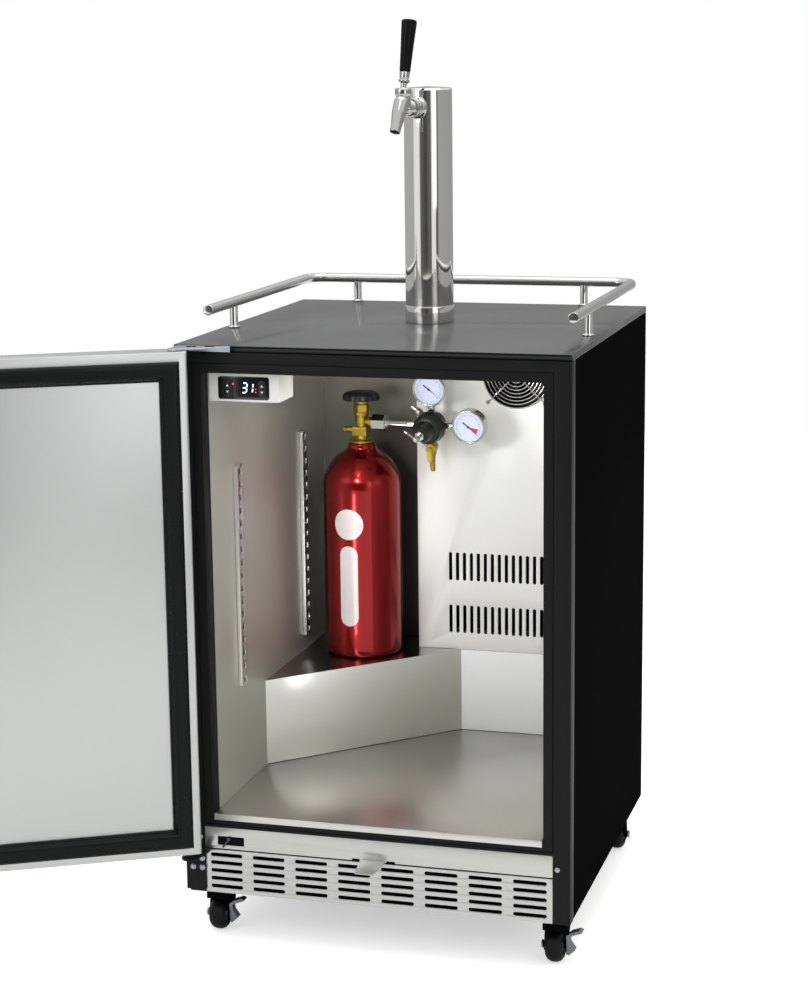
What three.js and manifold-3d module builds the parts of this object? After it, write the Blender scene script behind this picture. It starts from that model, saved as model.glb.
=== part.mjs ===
// Kegerator: a 24-inch class undercounter beer fridge on casters, with a one-tap tower and a CO2 cylinder.
// Millimetres, +Z up, the door side faces -Y and +X is to the right of someone facing it.
// Pieces are drawn in the cabinet's own frame: x = 0 on its centre line, y = 0 on the front frame's face and
// z = 0 under the base pan. At the end the whole is moved so that the origin is the middle of its bounding
// box at floor level.
import * as THREE from "three";
import { mergeVertices } from "three/addons/utils/BufferGeometryUtils.js";
import Module from "manifold-3d";

const wasm = await Module();
wasm.setup();

// ---- driving dimensions ----
const GAP = 0.3; // clearance left between pieces that touch
const SHEET = 1.2; // steel and stainless sheet
const CABINET = { width: 603, depth: 617, height: 857 };
const HALF = CABINET.width / 2;
const STILE = 41.5; // side wall and frame stile
const FRAME_DEPTH = 25;
const WORKTOP = { thickness: 10, lip: 3.5, recess: 8 };
const OPENING = { bottom: 118.8, top: 815.4 };
const FLOOR_TOP = 129.2;
const FLOOR_SLAB = 20;
const LEG_WIDTH = 26.5; // the frame's legs beside the kick panel
const KICK = { bottom: 72.8, top: 107, thickness: 1.5 };
const DOOR_RIM = 13; // bright edge left showing round the gasket
const GASKET_WIDTH = 29.5;
const GRILLE = { columns: 8, rows: 5, slot: [51.5, 5.6], pitch: [68.65, 12.8] };
const LINER_HALF = HALF - STILE - SHEET; // clear half width inside the liner
const CEILING = 817;
const BACK_WALL = 26.5;
const LINER_BACK = CABINET.depth - BACK_WALL - SHEET; // clear depth inside the liner
const HUMP = { top: 272, front: 514, corner: 5 };
const BAY_TOP = HUMP.top - 25; // the machine bay's opening at the back ends here
const DUCT_LEFT = -70;
const VENT = { count: 18, pitch: 12.2, left: -15.7, slot: [5.6, 49], rows: [325.5, 417.5] };
const FAN = { x: 103, z: 751, guard: 57.5, feet: 68, hole: 58.5, rotor: 50 };
const CYLINDER = { x: -156, y: 475, radius: 66.7, neck: 362, neckRadius: 23 };
const REGULATOR = { outlet: 34, reach: 127, turn: 5, tilt: 8 }; // outlet above the cylinder's neck
const TOWER = { y: 345, radius: 38.1, height: 365, collar: 27, turn: 10, lineHole: 24 };
const TAP = { height: 337, reach: 88, pivot: 365, lever: 393, handle: 473, lean: 13 };
const RAIL = { x: 283, front: 98, back: 604, height: 40, radius: 8, bend: 32, postRadius: 6.5, postFront: 213, postBack: 198 };
const DOOR = { bottom: 80, top: 853, inner: -12, outer: -60, open: 151.4, pivotX: -286, pivotY: -36 };
const CASTER = { height: 77, wheel: 25.4, width: 27, x: 270, frontY: 65, rearY: 540, trail: 18 };
const FAN_PITCH = 34; // degrees its blades are turned out of their own plane
const STRIKE_LEAN = 14; // degrees the lock strike leans forwards
const SWITCH_TURN = 55; // degrees the power switch's lever points down when it is off
const PIN = 5; // hinge pin radius

// ---- materials ----
const finish = (color, roughness, metalness) => new THREE.MeshStandardMaterial({ color, roughness, metalness });
const MATERIAL = {
  blackPaint: finish(0x17171a, 0.42, 0.0),
  worktop: finish(0x5f6063, 0.45, 0.3),
  stainless: finish(0xc6c6c2, 0.32, 1.0),
  chrome: finish(0xdedede, 0.06, 1.0),
  zinc: finish(0x9aa0a4, 0.35, 1.0),
  brass: finish(0xb5923c, 0.3, 1.0),
  red: finish(0xa3121a, 0.2, 0.6),
  blackPlastic: finish(0x1b1b1b, 0.5, 0.0),
  whitePlastic: finish(0xe9e7e0, 0.4, 0.0),
  rubber: finish(0x141414, 0.7, 0.0),
  dial: finish(0xe8e8ee, 0.3, 0.2),
};

// ---- geometry helpers ----
function toSolid(geometry) {
  const bare = geometry.clone();
  for (const name of Object.keys(bare.attributes)) {
    if (name !== "position") bare.deleteAttribute(name);
  }
  const merged = mergeVertices(bare, 1e-4);
  return new wasm.Manifold(new wasm.Mesh({
    numProp: 3,
    vertProperties: new Float32Array(merged.attributes.position.array),
    triVerts: new Uint32Array(merged.index.array),
  }));
}

function toGeometry(solid) {
  const mesh = solid.getMesh();
  const geometry = new THREE.BufferGeometry();
  geometry.setAttribute("position", new THREE.BufferAttribute(mesh.vertProperties, 3));
  geometry.setIndex(new THREE.BufferAttribute(mesh.triVerts, 1));
  return geometry;
}

const join = (...pieces) => toGeometry(pieces.map(toSolid).reduce((a, b) => a.add(b)));
const cut = (body, ...tools) => toGeometry(tools.map(toSolid).reduce((a, b) => a.subtract(b), toSolid(body)));

// A box given by its low and high corner.
function block(low, high) {
  const size = high.map((value, i) => value - low[i]);
  return new THREE.BoxGeometry(...size).translate(...low.map((value, i) => value + size[i] / 2));
}

// A tray of bent sheet that fills a box and is open on one side: axis 0, 1 or 2, towards + or -.
function tray(low, high, axis, sign) {
  const innerLow = low.map((value) => value + SHEET);
  const innerHigh = high.map((value) => value - SHEET);
  if (sign > 0) innerHigh[axis] = high[axis] + 5;
  else innerLow[axis] = low[axis] - 5;
  return cut(block(low, high), block(innerLow, innerHigh));
}

// A cylinder from one point to another, tapering from one radius to the other.
function rod(from, to, radius, endRadius = radius, sides = 20) {
  const start = new THREE.Vector3(...from);
  const span = new THREE.Vector3(...to).sub(start);
  const geometry = new THREE.CylinderGeometry(endRadius, radius, span.length(), sides);
  geometry.translate(0, span.length() / 2, 0);
  const turn = new THREE.Quaternion().setFromUnitVectors(new THREE.Vector3(0, 1, 0), span.normalize());
  return geometry.applyQuaternion(turn).translate(...from);
}

// A turned piece: [radius, height] points from the bottom to the top, about the vertical through (x, y).
function turned(profile, x, y, z, sides = 24) {
  const points = profile.map(([radius, height]) => new THREE.Vector2(radius, height));
  return new THREE.LatheGeometry(points, sides).rotateX(Math.PI / 2).translate(x, y, z);
}

// A flat outline in plan, as thick as from one height to the other.
function plate(outline, low, high) {
  const shape = outline instanceof THREE.Shape ? outline : shapeOf(outline);
  return new THREE.ExtrudeGeometry(shape, { depth: high - low, bevelEnabled: false }).translate(0, 0, low);
}

// The same outline drawn on the front face, as [x, z], running back from one y to the other.
function facePlate(outline, front, back) {
  return plate(outline, 0, back - front).rotateX(Math.PI / 2).translate(0, back, 0);
}

// An outline drawn from the side, as [y, z], running across from one x to the other.
function sidePlate(outline, left, right) {
  const geometry = plate(outline, 0, right - left);
  const axes = new THREE.Matrix4().makeBasis(
    new THREE.Vector3(0, 1, 0), new THREE.Vector3(0, 0, 1), new THREE.Vector3(1, 0, 0));
  return geometry.applyMatrix4(axes).translate(left, 0, 0);
}

function shapeOf(points) {
  return new THREE.Shape(points.map(([x, y]) => new THREE.Vector2(x, y)));
}

// A rectangle with quarter-round corners, drawn as a path with its arcs in a few steps.
function roundedRectangle(x0, y0, x1, y1, radius, steps = 3) {
  const corners = [[x1 - radius, y0 + radius, -90], [x1 - radius, y1 - radius, 0],
    [x0 + radius, y1 - radius, 90], [x0 + radius, y0 + radius, 180]];
  const points = [];
  for (const [x, y, start] of corners) {
    for (let step = 0; step <= steps; step += 1) {
      const angle = THREE.MathUtils.degToRad(start + (90 * step) / steps);
      points.push([x + radius * Math.cos(angle), y + radius * Math.sin(angle)]);
    }
  }
  return points;
}

function withHoles(outline, holes) {
  const shape = shapeOf(outline);
  shape.holes = holes.map((hole) => new THREE.Path(hole.map(([x, y]) => new THREE.Vector2(x, y))));
  return shape;
}

function circle(x, y, radius, sides = 24) {
  return Array.from({ length: sides }, (_, i) => {
    const angle = (2 * Math.PI * i) / sides;
    return [x + radius * Math.cos(angle), y + radius * Math.sin(angle)];
  });
}

const model = new THREE.Group();
function piece(name, material, geometry, parent = model) {
  const mesh = new THREE.Mesh(geometry, material);
  mesh.name = name;
  parent.add(mesh);
  return mesh;
}

// ---- cabinet walls, worktop and base ----
function cabinetBody() {
  const wallTop = CABINET.height - WORKTOP.thickness - GAP;
  const wallFront = FRAME_DEPTH + GAP;
  const wallInner = LINER_HALF + SHEET + GAP;
  const roofHalf = wallInner - GAP;
  piece("side_wall_left", MATERIAL.blackPaint,
    tray([-HALF, wallFront, 0], [-wallInner, CABINET.depth, wallTop], 0, 1));
  piece("side_wall_right", MATERIAL.blackPaint,
    tray([wallInner, wallFront, 0], [HALF, CABINET.depth, wallTop], 0, -1));
  piece("back_wall", MATERIAL.blackPaint, tray(
    [-roofHalf, LINER_BACK + SHEET + GAP, BAY_TOP], [roofHalf, CABINET.depth, wallTop], 1, -1));
  const top = CABINET.height;
  const lineHole = rod([0, TOWER.y, CEILING - 20], [0, TOWER.y, top + 20], TOWER.lineHole, TOWER.lineHole, 24);
  piece("roof_panel", MATERIAL.blackPaint, cut(tray([-roofHalf, wallFront, CEILING + SHEET + GAP],
    [roofHalf, LINER_BACK + SHEET, wallTop], 2, -1), lineHole));
  const under = top - WORKTOP.thickness;
  const lipUnder = top - WORKTOP.lip;
  const slab = sidePlate([[0, lipUnder], [WORKTOP.recess, lipUnder], [WORKTOP.recess, under],
    [CABINET.depth, under], [CABINET.depth, top], [0, top]], -HALF, HALF);
  piece("worktop", MATERIAL.worktop, cut(slab, lineHole));

  const legInner = HALF - LEG_WIDTH;
  const railTop = OPENING.bottom - GAP;
  const mouth = HALF - STILE;
  const outline = [[-HALF, 0], [-legInner, 0], [-legInner, KICK.top + GAP], [legInner, KICK.top + GAP],
    [legInner, 0], [HALF, 0], [HALF, wallTop], [-HALF, wallTop]];
  const opening = [[-mouth, railTop], [mouth, railTop], [mouth, OPENING.top], [-mouth, OPENING.top]];
  piece("front_frame", MATERIAL.blackPlastic, facePlate(withHoles(outline, [opening]), 0, FRAME_DEPTH));

  // Pan under the machinery, with a stiffening rib over each pair of casters.
  const pan = block([-roofHalf, wallFront, 0], [roofHalf, CABINET.depth - 4, 2]);
  const apron = block([-legInner + GAP, KICK.thickness + GAP, 0], [legInner - GAP, wallFront + 1, 2]);
  const ribs = [CASTER.frontY, CASTER.rearY].map((y) => block([-roofHalf, y - 9, 0], [roofHalf, y + 9, 8]));
  piece("base_pan", MATERIAL.blackPaint, join(cut(apron, block([roofHalf, wallFront - GAP, -1],
    [HALF, wallFront + 2, 3]), block([-HALF, wallFront - GAP, -1], [-roofHalf, wallFront + 2, 3])), pan, ...ribs));
}

function casterPlaces() {
  const { x, frontY, rearY, trail } = CASTER;
  return [
    { name: "front_left", x: -x, y: frontY, axleY: frontY - trail },
    { name: "front_right", x, y: frontY, axleY: frontY - trail },
    { name: "rear_left", x: -x, y: rearY, axleY: rearY + trail },
    { name: "rear_right", x, y: rearY, axleY: rearY + trail },
  ];
}

// ---- inside of the cabinet ----
function humpOutline(inset, back) {
  const { front, corner } = HUMP;
  const side = LINER_HALF - GAP;
  const diagonal = inset * Math.SQRT2; // a 45 degree face moved inwards
  const leftY = front - (corner + side) + diagonal;
  const cornerX = corner + inset - diagonal;
  return [[-side, leftY], [cornerX, front + inset], [side, front + inset], [side, back], [-side, back]];
}

function interior() {
  const outer = LINER_HALF + SHEET;
  const front = FRAME_DEPTH + GAP;
  const bottom = FLOOR_TOP - FLOOR_SLAB;
  const topOfLiner = CEILING + SHEET;
  const back = LINER_BACK - GAP;
  const liner = cut(
    block([-outer, front, bottom], [outer, LINER_BACK + SHEET, topOfLiner]),
    block([-LINER_HALF, front - 5, bottom - 5], [LINER_HALF, LINER_BACK, CEILING]),
    block([-outer - 5, HUMP.front + 20, bottom - 5], [outer + 5, LINER_BACK + 10, BAY_TOP]),
    rod([0, TOWER.y, CEILING - 5], [0, TOWER.y, topOfLiner + 5], TOWER.lineHole, TOWER.lineHole, 24));
  piece("inner_liner", MATERIAL.stainless, liner);

  // Floor: it stops at the compressor cover, and its sill lies over the frame's bottom rail.
  const half = LINER_HALF - GAP;
  const [leftEnd, bend, rightEnd] = humpOutline(-GAP, 0);
  const slope = Math.SQRT2 - 1; // how far a corner moves along when both its sides move in
  const floorOutline = (inset) => [[-half + inset, front + inset], [half - inset, front + inset],
    [half - inset, rightEnd[1] - inset], [bend[0] + inset * slope, bend[1] - inset],
    [leftEnd[0] + inset, leftEnd[1] + inset * slope]];
  piece("floor_panel", MATERIAL.stainless, cut(
    join(plate(floorOutline(0), FLOOR_TOP - FLOOR_SLAB, FLOOR_TOP),
      block([-half, 0, OPENING.bottom], [half, front + 1, FLOOR_TOP])),
    plate(floorOutline(SHEET * 2), FLOOR_TOP - FLOOR_SLAB - 5, FLOOR_TOP - SHEET)));

  const cover = plate(humpOutline(0, back), FLOOR_TOP + GAP, HUMP.top);
  const inside = plate(humpOutline(SHEET, back + 50), FLOOR_TOP - 50, HUMP.top - SHEET);
  piece("compressor_cover", MATERIAL.stainless, cut(cover, inside,
    block([-outer, back - SHEET, FLOOR_TOP - 50], [outer, back + 50, BAY_TOP])));

  ductAndFan();
  shelfTracks();
}

function ductAndFan() {
  const bottom = HUMP.top + GAP;
  const right = LINER_HALF - GAP;
  const y = HUMP.front;
  const holes = [circle(FAN.x, FAN.z, FAN.hole)];
  for (const z of VENT.rows) {
    for (let i = 0; i < VENT.count; i += 1) {
      const x = VENT.left + i * VENT.pitch;
      const [width, height] = VENT.slot;
      holes.push(roundedRectangle(x, z - height / 2, x + width, z + height / 2, width / 2 - 0.1, 1));
    }
  }
  const face = withHoles([[DUCT_LEFT, bottom], [right, bottom], [right, CEILING - GAP],
    [DUCT_LEFT, CEILING - GAP]], holes);
  piece("duct_cover", MATERIAL.stainless, join(
    facePlate(face, y, y + SHEET),
    block([DUCT_LEFT, y + SHEET / 2, bottom], [DUCT_LEFT + SHEET, LINER_BACK - GAP, CEILING - GAP])));

  // Finned block behind the vents.
  const fins = 16;
  const pitch = 17;
  const comb = [[-50, y + 56], [-50, y + 12]];
  for (let i = 0; i < fins; i += 1) {
    const x = -50 + i * pitch;
    comb.push([x + 5, y + 12], [x + 5, y + 44], [x + pitch, y + 44], [x + pitch, y + 12]);
  }
  comb.push([-50 + fins * pitch + 5, y + 12], [-50 + fins * pitch + 5, y + 56]);
  piece("evaporator", MATERIAL.zinc, plate(comb.reverse(), 300, 640));

  const axis = [FAN.x, 0, FAN.z];
  const along = (from, to, radius, sides) => rod([axis[0], from, axis[2]], [axis[0], to, axis[2]], radius,
    radius, sides);
  piece("fan_motor", MATERIAL.blackPlastic, join(
    along(y + 32, y + 62, 22, 20), along(y + 60, LINER_BACK - GAP, 30, 20)));

  const blades = Array.from({ length: 5 }, (_, i) => {
    const blade = new THREE.BoxGeometry(30, 2.4, 26).rotateX(THREE.MathUtils.degToRad(FAN_PITCH))
      .translate(FAN.rotor - 19, 0, 0);
    return blade.rotateY((2 * Math.PI * i) / 5).translate(FAN.x, y + 18, FAN.z);
  });
  piece("fan_rotor", MATERIAL.blackPlastic, join(along(y + 9, y + 31, 18, 20), ...blades));

  // Wire guard: rings held by four spokes, standing just off the duct cover.
  const wire = 1.6;
  const rings = [20, 32.5, 45, FAN.guard].map((radius) => facePlate(
    withHoles(circle(FAN.x, FAN.z, radius, 18), [circle(FAN.x, FAN.z, radius - wire, 18)]),
    y - 5, y - 5 + wire));
  const spokes = [45, 135].map((angle) => new THREE.BoxGeometry(2 * FAN.feet + 2, wire, wire)
    .rotateY(THREE.MathUtils.degToRad(angle)).translate(FAN.x, y - 3.4, FAN.z));
  const feet = [45, 135, 225, 315].map((angle) => {
    const turn = THREE.MathUtils.degToRad(angle);
    const x = FAN.x + FAN.feet * Math.cos(turn);
    const z = FAN.z + FAN.feet * Math.sin(turn);
    return rod([x, y - 4.6, z], [x, y - GAP, z], 3, 3, 8);
  });
  piece("fan_guard", MATERIAL.chrome, join(...rings, ...spokes, ...feet));
}

function shelfTracks() {
  const track = { bottom: 297, top: 652, width: 24, depth: 6, slots: 17 };
  const pitch = (track.top - track.bottom) / track.slots;
  const places = { shelf_track_front: 137, shelf_track_rear: 462 };
  for (const [name, y] of Object.entries(places)) {
    const holes = Array.from({ length: track.slots }, (_, i) => {
      const z = track.bottom + (i + 0.5) * pitch;
      return [[y - 3, z - 4], [y + 7, z - 4], [y + 7, z + 4], [y - 3, z + 4]];
    });
    const outline = withHoles([[y - track.width / 2, track.bottom], [y + track.width / 2, track.bottom],
      [y + track.width / 2, track.top], [y - track.width / 2, track.top]], holes);
    piece(name, MATERIAL.stainless,
      sidePlate(outline, -LINER_HALF + GAP, -LINER_HALF + GAP + track.depth));
  }
}

// ---- thermostat box with four keys ----
function controller() {
  const front = FRAME_DEPTH + 1.5;
  const box = { left: -LINER_HALF + GAP, right: -146.5, front, back: front + 66, bottom: 769, top: CEILING - GAP };
  const keyRadius = 4;
  const keyPlaces = { key_left_up: [-227.5, 794], key_left_down: [-227.5, 784.5],
    key_right_up: [-173, 794], key_right_down: [-173, 784.5] };
  const wells = Object.values(keyPlaces).map(([x, z]) => rod([x, box.front - 5, z],
    [x, box.front + 3, z], keyRadius + 0.4, keyRadius + 0.4, 12));
  piece("controller_housing", MATERIAL.whitePlastic, cut(
    block([box.left, box.front, box.bottom], [box.right, box.back, box.top]), ...wells));
  for (const [name, [x, z]] of Object.entries(keyPlaces)) {
    piece(name, MATERIAL.blackPlastic,
      rod([x, box.front - 1.2, z], [x, box.front + 1.6, z], keyRadius, keyRadius, 12));
  }
}

// ---- kick panel, grille and what is behind them ----
function lowerFront() {
  const half = HALF - LEG_WIDTH - GAP;
  const { bottom, top, thickness } = KICK;
  const window = [[-254, 79], [-211, 79], [-211, 93], [-254, 93]];
  const notch = bottom + 3; // a relief each side of the strike
  const panel = facePlate(withHoles([[-half, bottom], [-37, bottom], [-37, notch], [-25, notch], [-25, bottom],
    [17, bottom], [17, notch], [31, notch], [31, bottom], [half, bottom], [half, top], [-half, top]],
    [window]), 0, thickness);
  // The lock strike: a tongue that leans forwards and down from the panel's lower edge.
  const tongue = plate([[-24, 1], [-23, -36], [6, -36], [16, 1]], -0.75, 0.75)
    .rotateX(THREE.MathUtils.degToRad(STRIKE_LEAN)).translate(0, 0, bottom + 1);
  piece("kick_panel", MATERIAL.stainless, join(panel, tongue));

  const lever = { x: -235.5, z: 89.5 };
  const toggle = join(
    rod([lever.x, -2.5, lever.z], [lever.x, 6, lever.z], 3, 3, 12),
    new THREE.BoxGeometry(19, 2, 3.2).translate(-8, 0, 0)
      .rotateY(THREE.MathUtils.degToRad(-SWITCH_TURN)).translate(lever.x, -2, lever.z));
  piece("power_switch", MATERIAL.blackPlastic, toggle);

  const { columns, rows, slot, pitch } = GRILLE;
  const slots = [];
  for (let column = 0; column < columns; column += 1) {
    for (let row = 0; row < rows; row += 1) {
      const x = (column - (columns - 1) / 2) * pitch[0];
      const z = 36.8 + (row - (rows - 1) / 2) * pitch[1];
      slots.push(roundedRectangle(x - slot[0] / 2, z - slot[1] / 2, x + slot[0] / 2, z + slot[1] / 2,
        slot[1] / 2 - 0.1, 1));
    }
  }
  const grilleTop = bottom - 2;
  piece("grille", MATERIAL.stainless, facePlate(withHoles([[-half, 0.5], [half, 0.5],
    [half, grilleTop], [-half, grilleTop]], slots), 0, thickness));

  // Finned condenser behind the grille, and the compressor under its cover.
  const condenser = { left: -150, fins: 14, pitch: 24, front: 60, back: 110 };
  const outline = [[condenser.left, condenser.back], [condenser.left, condenser.front]];
  for (let i = 0; i < condenser.fins; i += 1) {
    const x = condenser.left + i * condenser.pitch;
    outline.push([x + 6, condenser.front], [x + 6, condenser.back - 8],
      [x + condenser.pitch, condenser.back - 8], [x + condenser.pitch, condenser.front]);
  }
  const right = condenser.left + condenser.fins * condenser.pitch + 6;
  outline.push([right, condenser.front], [right, condenser.back]);
  piece("condenser", MATERIAL.zinc, plate(outline.reverse(), 8 + GAP, 98));
  const can = turned([[0, 0], [60, 0], [66, 10], [66, 92], [54, 126], [24, 142], [0, 144]], 0, 0, 0, 24);
  const feet = block([-74, -60, -12], [74, 60, 4]);
  piece("compressor", MATERIAL.blackPaint, join(can, feet).translate(-160, 518, 8 + GAP + 12));
}

// ---- hinge brackets ----
function hingeBrackets() {
  const { pivotX, pivotY, top, bottom } = DOOR;
  const leafBottom = top + GAP;
  const leaf = plate([[pivotX - 9, -4], [pivotX - 9, pivotY - 6], [pivotX - 6, pivotY - 10],
    [pivotX + 6, pivotY - 12], [pivotX + 16, pivotY], [-212, -2.5], [-212, -GAP], [pivotX - 9, -GAP]],
    leafBottom, leafBottom + 3);
  const flange = block([pivotX + 10, -2.5, 847.5], [-212, -GAP, leafBottom + 3]);
  piece("top_hinge", MATERIAL.zinc, join(leaf, flange,
    rod([pivotX, pivotY, leafBottom + 1], [pivotX, pivotY, leafBottom - 14], PIN, PIN, 16)));

  const foot = bottom - GAP;
  const lowerLeaf = plate([[pivotX - 12, -4], [pivotX - 12, pivotY - 6], [pivotX - 6, pivotY - 12],
    [pivotX + 6, pivotY - 12], [pivotX + 12, pivotY - 6], [pivotX + 18, -4], [pivotX + 18, -GAP],
    [pivotX - 12, -GAP]], foot - 14, foot - 10);
  const backPlate = block([-HALF - 4, -3.5, 4], [-HALF + LEG_WIDTH, -GAP, foot - 10]);
  const screws = [[-294, 41], [-279, 41], [-279, 56]].map(([x, z]) =>
    rod([x, -3, z], [x, -6, z], 4.2, 3.2, 12));
  piece("bottom_hinge", MATERIAL.blackPaint, join(lowerLeaf, backPlate, ...screws,
    rod([pivotX, pivotY, foot - 12], [pivotX, pivotY, foot + 14], PIN, PIN, 16),
    rod([pivotX, pivotY, foot - 13], [pivotX, pivotY, foot], 9, 9, 16)));
}

// ---- door, drawn closed in a group that turns about the hinge pins ----
function door() {
  const { bottom, top, inner, outer, pivotX, pivotY } = DOOR;
  const hinge = new THREE.Group();
  hinge.position.set(pivotX, pivotY, 0);
  hinge.rotation.z = THREE.MathUtils.degToRad(-DOOR.open);
  const leaf = new THREE.Group();
  leaf.position.set(-pivotX, -pivotY, 0);
  hinge.add(leaf);
  model.add(hinge);

  // The outer skin is a tray whose edge folds in behind the liner; both pins turn in holes through it.
  const flange = inner - SHEET - GAP;
  const pinHole = rod([pivotX, pivotY, bottom - 5], [pivotX, pivotY, top + 5], PIN + 0.6, PIN + 0.6, 24);
  const fold = DOOR_RIM + 12;
  piece("door_shell", MATERIAL.stainless, cut(
    plate(roundedRectangle(-HALF, outer, HALF, flange, 4, 2), bottom, top),
    block([-HALF + SHEET, outer + SHEET, bottom + SHEET], [HALF - SHEET, flange - SHEET, top - SHEET]),
    block([-HALF + fold, outer + 9, bottom + fold], [HALF - fold, flange + 5, top - fold]), pinHole), leaf);

  const panelHalf = HALF - DOOR_RIM;
  const [low, high] = [bottom + DOOR_RIM, top - DOOR_RIM];
  const frame = [[-panelHalf, low], [panelHalf, low], [panelHalf, high], [-panelHalf, high]];
  piece("door_liner", MATERIAL.stainless, facePlate(frame, inner - SHEET, inner), leaf);
  const sealHalf = panelHalf - GASKET_WIDTH;
  const sealHole = [[-sealHalf, low + GASKET_WIDTH], [sealHalf, low + GASKET_WIDTH],
    [sealHalf, high - GASKET_WIDTH], [-sealHalf, high - GASKET_WIDTH]];
  piece("door_gasket", MATERIAL.rubber, facePlate(withHoles(frame, [sealHole]), inner + GAP, -GAP), leaf);

  const bar = { x: HALF - 40, y: outer - 42, bottom: 220, top: 720, radius: 9.5 };
  const posts = [bar.bottom + 45, bar.top - 45].map((z) => rod([bar.x, outer - GAP, z],
    [bar.x, bar.y, z], 7, 7, 16));
  piece("door_handle", MATERIAL.stainless, join(
    rod([bar.x, bar.y, bar.bottom], [bar.x, bar.y, bar.top], bar.radius, bar.radius, 24), ...posts), leaf);
}

// ---- rail round the worktop ----
function elbow(centre, radius, tube, startAngle) {
  const from = THREE.MathUtils.degToRad(startAngle);
  class Bend extends THREE.Curve {
    getPoint(t, target = new THREE.Vector3()) {
      const angle = from + (t * Math.PI) / 2;
      return target.set(centre[0] + radius * Math.cos(angle), centre[1] + radius * Math.sin(angle), centre[2]);
    }
  }
  return new THREE.ExtrudeGeometry(shapeOf(circle(0, 0, tube, 16)),
    { steps: 6, extrudePath: new Bend(), bevelEnabled: false });
}

function guardRail() {
  const { x, front, back, height, radius, bend, postRadius, postFront, postBack } = RAIL;
  const z = CABINET.height + height;
  const overlap = 0.5;
  const straight = (from, to) => rod(from, to, radius, radius, 16);
  const parts = [
    straight([-x, front, z], [-x, back - bend + overlap, z]),
    straight([x, front, z], [x, back - bend + overlap, z]),
    straight([-x + bend - overlap, back, z], [x - bend + overlap, back, z]),
    elbow([x - bend, back - bend, z], bend, radius, 0),
    elbow([-x + bend, back - bend, z], bend, radius, 90),
  ];
  for (const [px, py] of [[-x, postFront], [x, postFront], [-postBack, back], [postBack, back]]) {
    parts.push(rod([px, py, CABINET.height + GAP], [px, py, z], postRadius, postRadius, 12));
  }
  piece("guard_rail", MATERIAL.stainless, join(...parts));
}

// ---- tower and tap, in a group turned a little to the left on the worktop ----
function towerAndTap() {
  const tower = new THREE.Group();
  tower.position.set(0, TOWER.y, CABINET.height);
  tower.rotation.z = THREE.MathUtils.degToRad(-TOWER.turn);
  model.add(tower);
  const { radius, height, collar } = TOWER;
  const bore = radius - 1.5;
  const column = turned([[bore, GAP], [radius + 1, GAP], [radius + 1, collar - 1], [radius - 0.7, collar - 1],
    [radius - 0.7, collar], [radius, collar], [radius, height - 1], [radius - 3, height + 2], [0, height + 4], [0, height + 1.5], [bore, height - 2],
    [bore, GAP]], 0, 0, 0, 32);
  const shankRadius = 10.7;
  const z = TAP.height;
  const back = -radius + 14;
  piece("tower_column", MATERIAL.chrome,
    cut(column, rod([0, 0, z], [0, -radius - 10, z], shankRadius + 0.4, shankRadius + 0.4, 20)), tower);
  piece("faucet_shank", MATERIAL.chrome, join(
    rod([0, back, z], [0, -65, z], shankRadius, shankRadius, 20),
    rod([0, -radius - 1.6, z], [0, -radius - 8, z], 17.5, 15, 24)), tower);
  piece("faucet_nut", MATERIAL.chrome, cut(
    rod([0, -49, z], [0, -65, z], 14.5, 14.5, 20),
    rod([0, -40, z], [0, -70, z], shankRadius + 0.4, shankRadius + 0.4, 20),
    ...[0, 90, 180, 270].map((angle) => rod([0, 0, 11], [0, 0, 20], 2.4, 2.4, 8)
      .rotateY(THREE.MathUtils.degToRad(angle + 45)).translate(0, -57, z))), tower);

  const reach = -TAP.reach;
  const pivot = TAP.pivot;
  const socket = cut(rod([0, reach, z - 4], [0, reach, pivot + 6], 11.5, 12.5, 20),
    rod([0, reach, pivot - 8], [0, reach, pivot + 10], 9, 9.6, 20));
  piece("faucet_body", MATERIAL.chrome, join(
    rod([0, -65 - GAP, z], [0, reach, z], 12, 11, 20),
    socket,
    rod([0, reach - 4, z + 16], [0, -119, z - 35], 11.5, 8, 20)), tower);

  // Lever and handle are drawn upright over the pivot ball, then leaned back towards the tower.
  const lean = THREE.MathUtils.degToRad(-TAP.lean);
  const leaned = (geometry) => geometry.rotateX(lean).translate(0, reach, pivot);
  const leverTop = TAP.lever - 1 - pivot;
  piece("faucet_lever", MATERIAL.chrome, leaned(join(
    new THREE.SphereGeometry(6, 12, 8),
    rod([0, 0, 0], [0, 0, leverTop], 4.4, 4.4, 12),
    rod([0, 0, leverTop - 15], [0, 0, leverTop - 11], 8.8, 8.8, 20),
    rod([0, 0, leverTop - 12], [0, 0, leverTop], 7.4, 8.4, 20))), tower);
  const grip = TAP.handle - TAP.lever;
  piece("tap_handle", MATERIAL.blackPlastic, leaned(turned([[0, 0], [8, 0], [8.4, 3], [12, grip - 4],
    [10, grip - 1], [0, grip]], 0, 0, leverTop + GAP, 20)), tower);
}

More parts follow.
